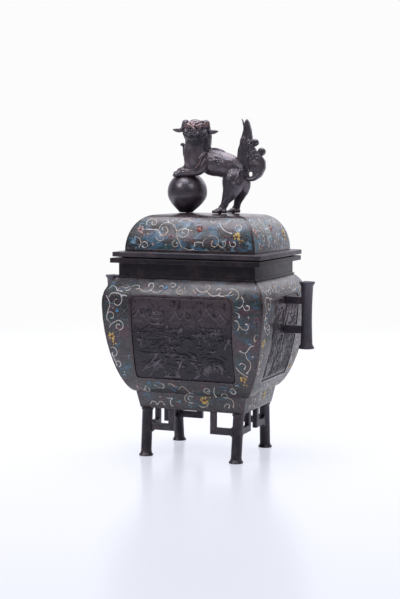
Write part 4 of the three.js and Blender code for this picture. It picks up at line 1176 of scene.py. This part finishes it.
def mane(clay):
    """Locks that hang beside the face, under the chin and on the chest, and six more on the far side."""
    locks = [
        [(1.0, -6, 92, 2.2), (1.2, -5.5, 84, 2.6), (0.8, -5.5, 77, 2.5), (3.0, -5, 72.4, 1.4)],
        [(-2.0, 0.5, 98, 3.0), (-0.4, 0.5, 90, 3.0), (-0.8, 0, 82, 3.0), (0.2, 0, 75, 2.2)],
        [(0.0, -10, 88, 1.9), (1.0, -9.6, 82, 2.2), (0.0, -9.8, 76.5, 2.1), (1.6, -9.6, 71, 1.2)],
        [(-3.0, -13.5, 86, 1.7), (-2.4, -13.2, 80, 2.0), (-3.4, -13.4, 74.5, 2.0), (-1.4, -13.4, 69.4, 1.1)],
        [(-5.6, -16.6, 83, 1.5), (-5.6, -16.4, 77.5, 1.8), (-6.4, -15.6, 73, 1.3)],
        [(-12.8, -18.4, 83, 2.6), (-12.6, -18.4, 79, 2.4), (-13.2, -17.6, 75.4, 1.2)],
        [(-9.4, -18.4, 83, 2.2), (-9.0, -18.0, 79, 2.0), (-9.6, -17.4, 76.4, 1.0)],
        [(-16.2, -17.4, 84, 2.1), (-16.6, -17.0, 80, 1.9), (-17.2, -16.2, 77, 0.9)],
        [(-24.6, -9, 90, 2.2), (-25.4, -8, 84, 2.1), (-25.8, -7.6, 79, 1.4)],
        [(-29.4, -3, 66, 2.2), (-30.2, -3, 73, 2.3), (-31.2, -3, 78.0, 2.1), (-33.2, -3, 79.4, 1.6),
         (-34.6, -3, 78.0, 1.1)],
    ]
    for shift in range(6):
        x = -24.5 + 4.1 * shift
        deep = 4.6 + 2.4 * sin(pi * shift / 5)
        locks.append([(x, deep - 2, 101, 2.5), (x - 0.8, deep + 0.6, 93, 2.8), (x + 0.9, deep + 0.6, 85, 2.6),
                      (x + 0.3, deep, 78, 2.1), (x + 2.6, deep + 0.5, 73.4, 1.0)])
    for lock in locks:
        roll(clay, lock, step=0.9)


def taken_back(holder, *others):
    """What an object's modifiers make of it, as a bmesh. The object and the others are then dropped."""
    bpy.context.view_layer.update()
    made = bmesh.new()
    made.from_object(holder, bpy.context.evaluated_depsgraph_get())
    for done in (holder, *others):
        bpy.data.objects.remove(done)
    return made


def soften(bm, times=1):
    for _ in range(times):
        bmesh.ops.smooth_vert(bm, verts=bm.verts, factor=0.5, use_axis_x=True, use_axis_y=True, use_axis_z=True)


def remeshed(clay, grain, smooths, base=None):
    """All the lumps, and a base if there is one, run into one skin of even small faces."""
    ball = bmesh.new()
    bmesh.ops.create_uvsphere(ball, u_segments=14, v_segments=9, radius=1)
    round_spots = np.array([v.co for v in ball.verts])
    round_faces = [[v.index for v in face.verts] for face in ball.faces]
    ball.free()
    spots, faces = [], []
    for k, matrix in enumerate(clay):
        matrix = np.array(matrix)
        spots.extend((round_spots @ matrix[:3, :3].T + matrix[:3, 3]).tolist())
        faces.extend([v + k * len(round_spots) for v in face] for face in round_faces)
    mesh = bpy.data.meshes.new("clay")
    mesh.from_pydata(spots, [], faces)
    if base:
        base.from_mesh(mesh)
        base.to_mesh(mesh)
        base.free()
    holder = put_in("clay", mesh)
    net = holder.modifiers.new("net", "REMESH")
    net.mode = "VOXEL"
    net.voxel_size = grain
    made = taken_back(holder)
    soften(made, smooths)
    made.normal_update()
    return made


def pierced(bm, holes):
    """Cut through along the camera's line of sight. A hole is its place, its half width and its half height."""
    cutter = bmesh.new()
    for x, h, half, tall in holes:
        spot = Vector((x, 0, h))
        away = (spot - eye_place).normalized()
        turn = away.to_track_quat("Y", "Z").to_matrix().to_4x4()
        bmesh.ops.create_uvsphere(cutter, u_segments=20, v_segments=12, radius=1,
                                  matrix=Matrix.Translation(spot) @ turn @ Matrix.Diagonal((half, 25, tall, 1)))
    body, cutter = (put_in("shape", new_mesh("shape", shape)) for shape in (bm, cutter))
    cut = body.modifiers.new("cut", "BOOLEAN")
    cut.operation, cut.object = "DIFFERENCE", cutter
    made = taken_back(body, cutter)
    made.normal_update()
    return made


class Skin:
    """Cuts and raises lines on a bmesh that is in millimetres over the lid's top."""

    def __init__(self, bm):
        self.bm = bm
        self.tree = BVHTree.FromBMesh(bm)
        self.spots = np.array([v.co for v in bm.verts])
        self.outward = np.array([v.normal for v in bm.verts])
        self.patina_wear_and_painted_light = np.zeros(len(self.spots))

    def cut(self, points, width, lift, eye, patina_wear_and_painted_light=0.0):
        """One line, where the sight lines from an eye through the points meet the skin."""
        sights = [(point - eye).normalized() for point in softened(points, stroke_step)]
        line = [spot for spot in (self.tree.ray_cast(eye, sight)[0] for sight in sights) if spot is not None]
        if not line:
            return
        line = np.array(line + line[-1:])
        inside = np.all((self.spots > line.min(0) - width) & (self.spots < line.max(0) + width), axis=1)
        chosen = np.nonzero(inside)[0]
        spots = self.spots[chosen]
        nearest = np.full(len(chosen), np.inf)
        for start, end in zip(line, line[1:]):
            run = end - start
            part = np.clip(((spots - start) @ run) / max(run @ run, 1e-9), 0, 1)
            nearest = np.minimum(nearest, np.linalg.norm(spots - start - part[:, None] * run, axis=1))
        weight = np.clip(1 - (nearest / width) ** 2, 0, 1) ** 1.3
        self.spots[chosen] += self.outward[chosen] * (weight * lift)[:, None]
        # The value kept for the colour: rubbing and patina from the line's lift, and where a value is given, painted
        # shade or painted highlight too.
        self.patina_wear_and_painted_light[chosen] += weight * (patina_wear_and_painted_light if patina_wear_and_painted_light else max(-1.0, min(0.12, lift)))

    def finished(self):
        """The skin with its lines, and with the slight unevenness of hand-worked wax."""
        layer = self.bm.verts.layers.float.new("tooled_and_painted_light")
        for vert, spot, patina_wear_and_painted_light in zip(self.bm.verts, self.spots, np.clip(self.patina_wear_and_painted_light, -1, 1)):
            vert.co = Vector(spot) + vert.normal * uneven * noise.noise(Vector(spot) / uneven_size)
            vert[layer] = patina_wear_and_painted_light
        return self.bm


def ring(x, y, h, radius, turns=1.0, start=0.0, close=0.0):
    """Points round a curl that closes in as it goes."""
    count = max(6, int(10 * turns))
    points = []
    for k in range(count + 1):
        angle = start + 2 * pi * turns * k / count
        reach = radius * (1 - close * k / count)
        points.append((x + reach * cos(angle), y, h + reach * sin(angle)))
    return points


def at(depth, *spots):
    """Points across and up, all at one depth."""
    return [(x, depth, h) for x, h in spots]


def tooled_and_painted_light(skin):
    """The face, the curls of the mane, the spine, the haunch's whorl and the creases of the limbs, with painted shade
    on the mouth, the beard, the throat and the pupils, and painted highlights on the strap, the far forepaw and the
    chest.
    """
    front = eye_place
    behind = Vector((eye_place.x, -eye_place.y, eye_place.z))
    beside = Vector((-0.4 * eye_place.x, eye_place.y, eye_place.z))

    def cut(points, width, lift, eye=front, patina_wear_and_painted_light=0.0):
        skin.cut(points, width, lift, eye, patina_wear_and_painted_light)

    cut(at(-19, (-22.5, 97.5), (-20, 100.5), (-16, 101.8), (-13.2, 100.0)), 3.6, 0.3, patina_wear_and_painted_light=0.9)
    cut([(-7.1, -18, 98.9), (-3.0, -18, 98.9), (1.2, -18, 100.4), (5.0, -17, 102.0)], 3.8, 0.3, patina_wear_and_painted_light=1.0)
    cut(at(-18, (-16, 104.0), (-9, 103.6), (-2, 104.2)), 4.0, 0.01, patina_wear_and_painted_light=0.7)
    cut(at(-24, (-9, 97.4), (-8.4, 94.4)), 2.4, 0.01, patina_wear_and_painted_light=0.6)
    # Painted shade: the mouth, the beard under the chin and the throat under the head are darkened here, with no cut.
    cut(at(-20, (-17, 82.6), (-11, 81.6), (-4, 82.8)), 5.0, 0.01, patina_wear_and_painted_light=-1.0)
    cut(at(-20, (-14, 80), (-10, 78.4), (-6, 80)), 4.4, 0.01, patina_wear_and_painted_light=-1.0)
    cut(at(-10, (0, 84), (-1, 78), (0, 73)), 4.4, 0.01, patina_wear_and_painted_light=-0.6)
    # Painted highlights in the rubbed colour: along the strap, on top of the far forepaw and down the chest's far
    # edge.
    cut(at(-18, (-4.0, 59.6), (-6.4, 55.6), (-9.1, 52.8)), 2.0, 0.01, patina_wear_and_painted_light=0.65)
    cut(at(-5, (-34, 51.0), (-29, 51.6), (-25, 50.2)), 2.2, 0.01, patina_wear_and_painted_light=0.55)
    cut([(-25.5, -10, 70), (-25, -10, 62), (-22.5, -12, 55)], 3.4, 0.01, patina_wear_and_painted_light=0.4)
    cut(at(-21, (-23.3, 89.9), (-19.8, 87.6), (-16.3, 86.3), (-12.3, 85.6), (-8.4, 85.3), (-4.5, 86.2), (-0.6, 87.6),
           (4.0, 89.8)), 1.4, -1.1)
    # The mouth's cut is darkened further with painted shade.
    cut(at(-21, (-17.5, 87.4), (-12.3, 86.6), (-8.4, 86.3), (-3.5, 87.2)), 2.1, -1.1, patina_wear_and_painted_light=-1.0)
    cut(at(-24, (-10.4, 88.6), (-9.9, 90.6)), 0.8, -0.8)
    for x in (-11.3, -7.2):
        cut(at(-24, (x, 91.0), (x + 0.3, 91.5)), 1.0, -1.3)
    for x, h in ((-16.0, 95.3), (-0.9, 95.4)):
        cut(at(-20, (x - 3.2, h - 0.3), (x - 1.6, h + 1.6), (x + 1.6, h + 1.6), (x + 3.2, h - 0.3)), 0.9, -1.1)
        cut(at(-20, (x - 2.6, h - 1.4), (x, h - 2.3), (x + 2.6, h - 1.4)), 0.8, -0.8)
        cut(at(-20, (x - 3.6, h + 1.4), (x - 1.6, h + 3.0), (x + 1.6, h + 3.0), (x + 3.4, h + 1.4)), 0.9, 0.5)
        # Each pupil's pit is darkened with painted shade.
        cut(at(-20, (x - 0.1, h - 0.2), (x + 0.2, h - 0.2)), 1.1, -0.9, patina_wear_and_painted_light=-1.0)
    cut([(-13.3, -23, 94.2), (-12.9, -23, 92.2), (-14.6, -22, 90.2)], 0.9, -0.7)
    cut([(-4.4, -23, 94.4), (-3.4, -23, 92.4), (-1.4, -22, 90.8)], 0.9, -0.7)
    cut(at(-17, (-24.5, 93.5), (-26.0, 91.0), (-24.5, 88.6)), 0.9, -0.6)
    cut(at(-17, (4.0, 94.0), (5.4, 91.6), (4.4, 88.8)), 0.9, -0.6)
    for h, bow in ((101.6, 1.0), (103.8, 0.8)):
        cut(at(-17, (-16, h - bow), (-11, h + bow * 0.4), (-6, h), (0, h - bow)), 0.7, -0.45)
    for k in range(9):
        x = -18.4 + 1.75 * k
        cut([(x, -20, 81.8), (x + 0.5, -19, 79.2), (x - 0.1, -18, 76.6)], 0.6, -0.45)
    for k in range(8):
        x = -7.4 + 1.5 * k
        cut(at(-12, (x - 0.5, 90 - k * 0.2), (x + 0.6, 84), (x - 0.6, 78.5), (x + 0.4, 73)), 0.6, -0.6)
        cut(at(8, (x - 18, 100), (x - 17.4, 92), (x - 18.2, 84), (x - 17.2, 75)), 0.6, -0.5, behind)
    for side_x in (-41, -36, -31):
        cut(at(-5, (side_x, 97.4), (side_x + 2, 96.0), (side_x + 5.0, 95.6)), 0.5, -0.3)
    cut(at(-6, (8, 92.4), (11, 92.0), (13.5, 91.8)), 0.7, -0.5)
    cut(at(-8, (-34, 95.3), (-37, 95.0), (-40, 95.4)), 0.7, -0.5)
    cut(at(-17, (0.4, 67.4), (-2.5, 63.2), (-4.0, 60.4), (-6.6, 55.6), (-9.1, 53.2), (-12.4, 50.4), (-18.0, 48.6),
           (-23.0, 47.6)), 1.3, 1.0)
    cut(at(-17, (-0.9, 62.5), (-2.4, 59.4), (-5.0, 54.6), (-7.5, 51.8)), 0.9, -0.7)
    for h in (67.4, 64.0):
        cut(at(-15, (-0.6, h), (-0.7, h - 0.5)), 1.3, -1.2)
    cut(at(-12, (0.6, 70.6), (4.5, 69.6), (10, 69.2), (16, 67.6), (21, 64.4)), 0.9, -0.6)
    cut(at(-10, (3, 72.0), (9, 71.4), (15, 70.2), (20, 67.8)), 0.8, 0.5)
    cut(ring(15.2, -12, 58.6, 4.2, 1.3, radians(150), 0.7), 1.5, 0.5)
    cut(ring(15.2, -12, 58.6, 2.4, 0.8, radians(150), 0.5), 1.0, -0.4)
    cut(at(-12, (11.2, 60.6), (8, 63.2), (4, 64.4)), 1.5, 0.5)
    cut(at(-10, (39.8, 46.2), (38.8, 41.0), (37.2, 37.4), (35.2, 32.9)), 2.0, 0.8)
    cut(at(-10, (32.6, 34.6), (35.6, 32.6), (39.0, 32.2)), 1.8, 0.6)
    cut(at(-10, (43.0, 45.0), (42.6, 38.6), (40.6, 33.4)), 2.0, -0.6)
    cut(at(-10, (35.6, 32.0), (33.4, 27.6), (30.6, 24.0)), 1.6, 0.4)
    cut(at(-12, (27.5, 33.0), (28.4, 27.5), (27.2, 22.0), (25.6, 17.4)), 1.4, -0.5)
    cut(at(-15, (24.0, 12.8), (21.2, 9.4), (17.2, 6.8)), 0.8, 0.5)
    # A broad shallow hollow down the chest, faintly tinted with the rubbed colour as a painted highlight.
    cut(at(-20, (-17.0, 72), (-17.4, 64), (-15.0, 56)), 5.0, -1.0, patina_wear_and_painted_light=0.05)
    cut(at(-6, (-36.5, 50.4), (-32, 51.0), (-27, 49.2), (-24, 48.4)), 0.9, 0.6)
    cut(at(-8, (-35.0, 48.2), (-30, 48.4), (-26, 47.4)), 0.9, -0.8)
    for flip in (behind, beside):
        cut(ring(15.2, 12, 58.6, 4.4, 1.6, radians(150), 0.75), 0.9, 0.6, flip)
    cut(at(12, (2, 68), (0, 62), (-3, 56), (-8, 51)), 1.2, 0.8, behind)
    cut(at(12, (39.0, 44), (38.0, 38), (35.6, 32)), 1.2, 0.7, behind)
    cut(at(12, (4, 70.0), (10, 69.0), (17, 66.8), (24, 62)), 0.9, -0.5, behind)


def on_lid(bm, clear_of_ball=False):
    """From millimetres over the lid's top to its place, and clear of the ball and the lid."""
    for vert in bm.verts:
        vert.co.z = max(vert.co.z, 0.0)
        away = vert.co - ball_middle
        if clear_of_ball and away.length < ball_radius + ball_gap:
            vert.co = ball_middle + away.normalized() * (ball_radius + ball_gap)
    bmesh.ops.translate(bm, verts=bm.verts, vec=finial_base)
    bmesh.ops.scale(bm, verts=bm.verts, vec=(mm, mm, mm))
    smooth_faces(bm)
    return bm


def lion():
    """Lumps and rolls run into one skin, cut with a tool and smoothed once."""
    clay = []
    trunk_and_legs(clay)
    face_forms(clay)
    ears(clay)
    mane(clay)
    skin = Skin(remeshed(clay, clay_grain, 2))
    tooled_and_painted_light(skin)
    bm = skin.finished()
    soften(bm)
    return on_lid(bm, True)


piece("lion_cast", lion(), finial_bronze, "lid", "finial_bronze", "lion")

# Tail.
# A flat flame of bronze, cast by itself and brazed to the rump, with two rolled locks and cut hair lines. Here too
# places are in millimetres over the lid's top. A lock is its place, its radius and the radius of its curl.
tail_grain = 0.5
tail_holes = ((50.9, 44.8, 2.0, 2.7), (46.7, 48.9, 0.9, 1.1))
tail_locks = ((55.9, 80.8, 4.4, 3.0), (64.3, 70.4, 4.8, 3.3))
tail_eyes = (Vector((50, -900, 70)), Vector((50, 900, 70)))


def tail():
    """The solid's own flame, run together with rounder locks, cut on both sides and pierced, with painted shade in
    its curls.
    """
    bm = merged("lion_tail")
    bmesh.ops.scale(bm, verts=bm.verts, vec=(1 / mm, 1 / mm, 1 / mm))
    bmesh.ops.translate(bm, verts=bm.verts, vec=-finial_base)
    clay = []
    roll(clay, [(40.6, 0, 50, 4.0), (41.0, 0, 62, 4.6), (42.4, 0, 74, 4.6), (45.2, 0, 88, 4.2), (46.4, 0, 98, 3.4),
                (46.2, 0, 104, 2.2)])
    lump(clay, (57.0, 0, 53.0), (10.5, 5.2, 13.0))
    lump(clay, (49.5, 0, 80.0), (5.0, 4.8, 5.0))
    for x, h, radius, _ in tail_locks:
        lump(clay, (x, 0, h), (radius, 5.0, radius))
    skin = Skin(pierced(remeshed(clay, tail_grain, 3, bm), tail_holes))
    for eye in tail_eyes:
        def cut(points, width, lift, eye=eye, patina_wear_and_painted_light=0.0):
            skin.cut(points, width, lift, eye, patina_wear_and_painted_light)

        for x, h, _, curl in tail_locks:
            cut(ring(x, 0, h, curl, 1.7, radians(200), 0.8), 0.8, -1.1)
            cut(at(0, (x, h), (x + 0.3, h)), 1.2, -1.3)
            # Painted shade round each curl's centre.
            cut(at(0, (x, h), (x + 0.3, h)), 2.6, -0.01, patina_wear_and_painted_light=-1.0)
        cut(ring(50.4, 0, 81.0, 2.6, 1.2, radians(30), 0.6), 0.9, 0.8)
        cut(at(0, (49.0, 64.7), (51.8, 69.0), (56.3, 71.1), (60.8, 69.0), (62.8, 65.4), (60.6, 62.6), (57.6, 63.4),
               (57.8, 66.2)), 1.2, 1.0)
        cut(at(0, (52.0, 64.0), (54.0, 67.4), (57.2, 68.4)), 1.0, -0.9)
        cut(at(0, (45.4, 106), (45.8, 98), (44.6, 91), (45.0, 86.4)), 0.8, -0.8)
        cut(at(0, (48.4, 104), (49.4, 96), (49.2, 90), (48.6, 86)), 0.8, -0.7)
        cut(at(0, (43.2, 100), (42.8, 93), (41.2, 87)), 0.7, -0.6)
        for x in (37.6, 40.4, 43.4, 46.4):
            cut(at(0, (x, 82 - (x - 37) * 0.2), (x + 0.4, 74), (x - 0.6, 64), (x + 1.0, 53)), 0.8, -0.65)
        cut(at(0, (48.6, 77), (47.8, 71), (49.4, 66), (48.4, 58), (49.6, 50)), 1.1, -1.0)
        for k in range(8):
            x = 51.5 + 1.9 * k
            cut(at(0, (x, 61 + k * 0.3), (x + 1.6, 55), (x + 0.4, 48 + k * 0.3), (x - 3.4, 41.6 + k * 0.5)),
                0.6, -0.5)
        cut(at(0, (44.6, 40.0), (49, 38.6), (55, 39.4), (61, 43.6), (65.6, 50)), 1.0, 0.6)
    return on_lid(skin.finished())


piece("lion_tail_cast", tail(), finial_bronze, "lid", "finial_bronze", "lion_tail")
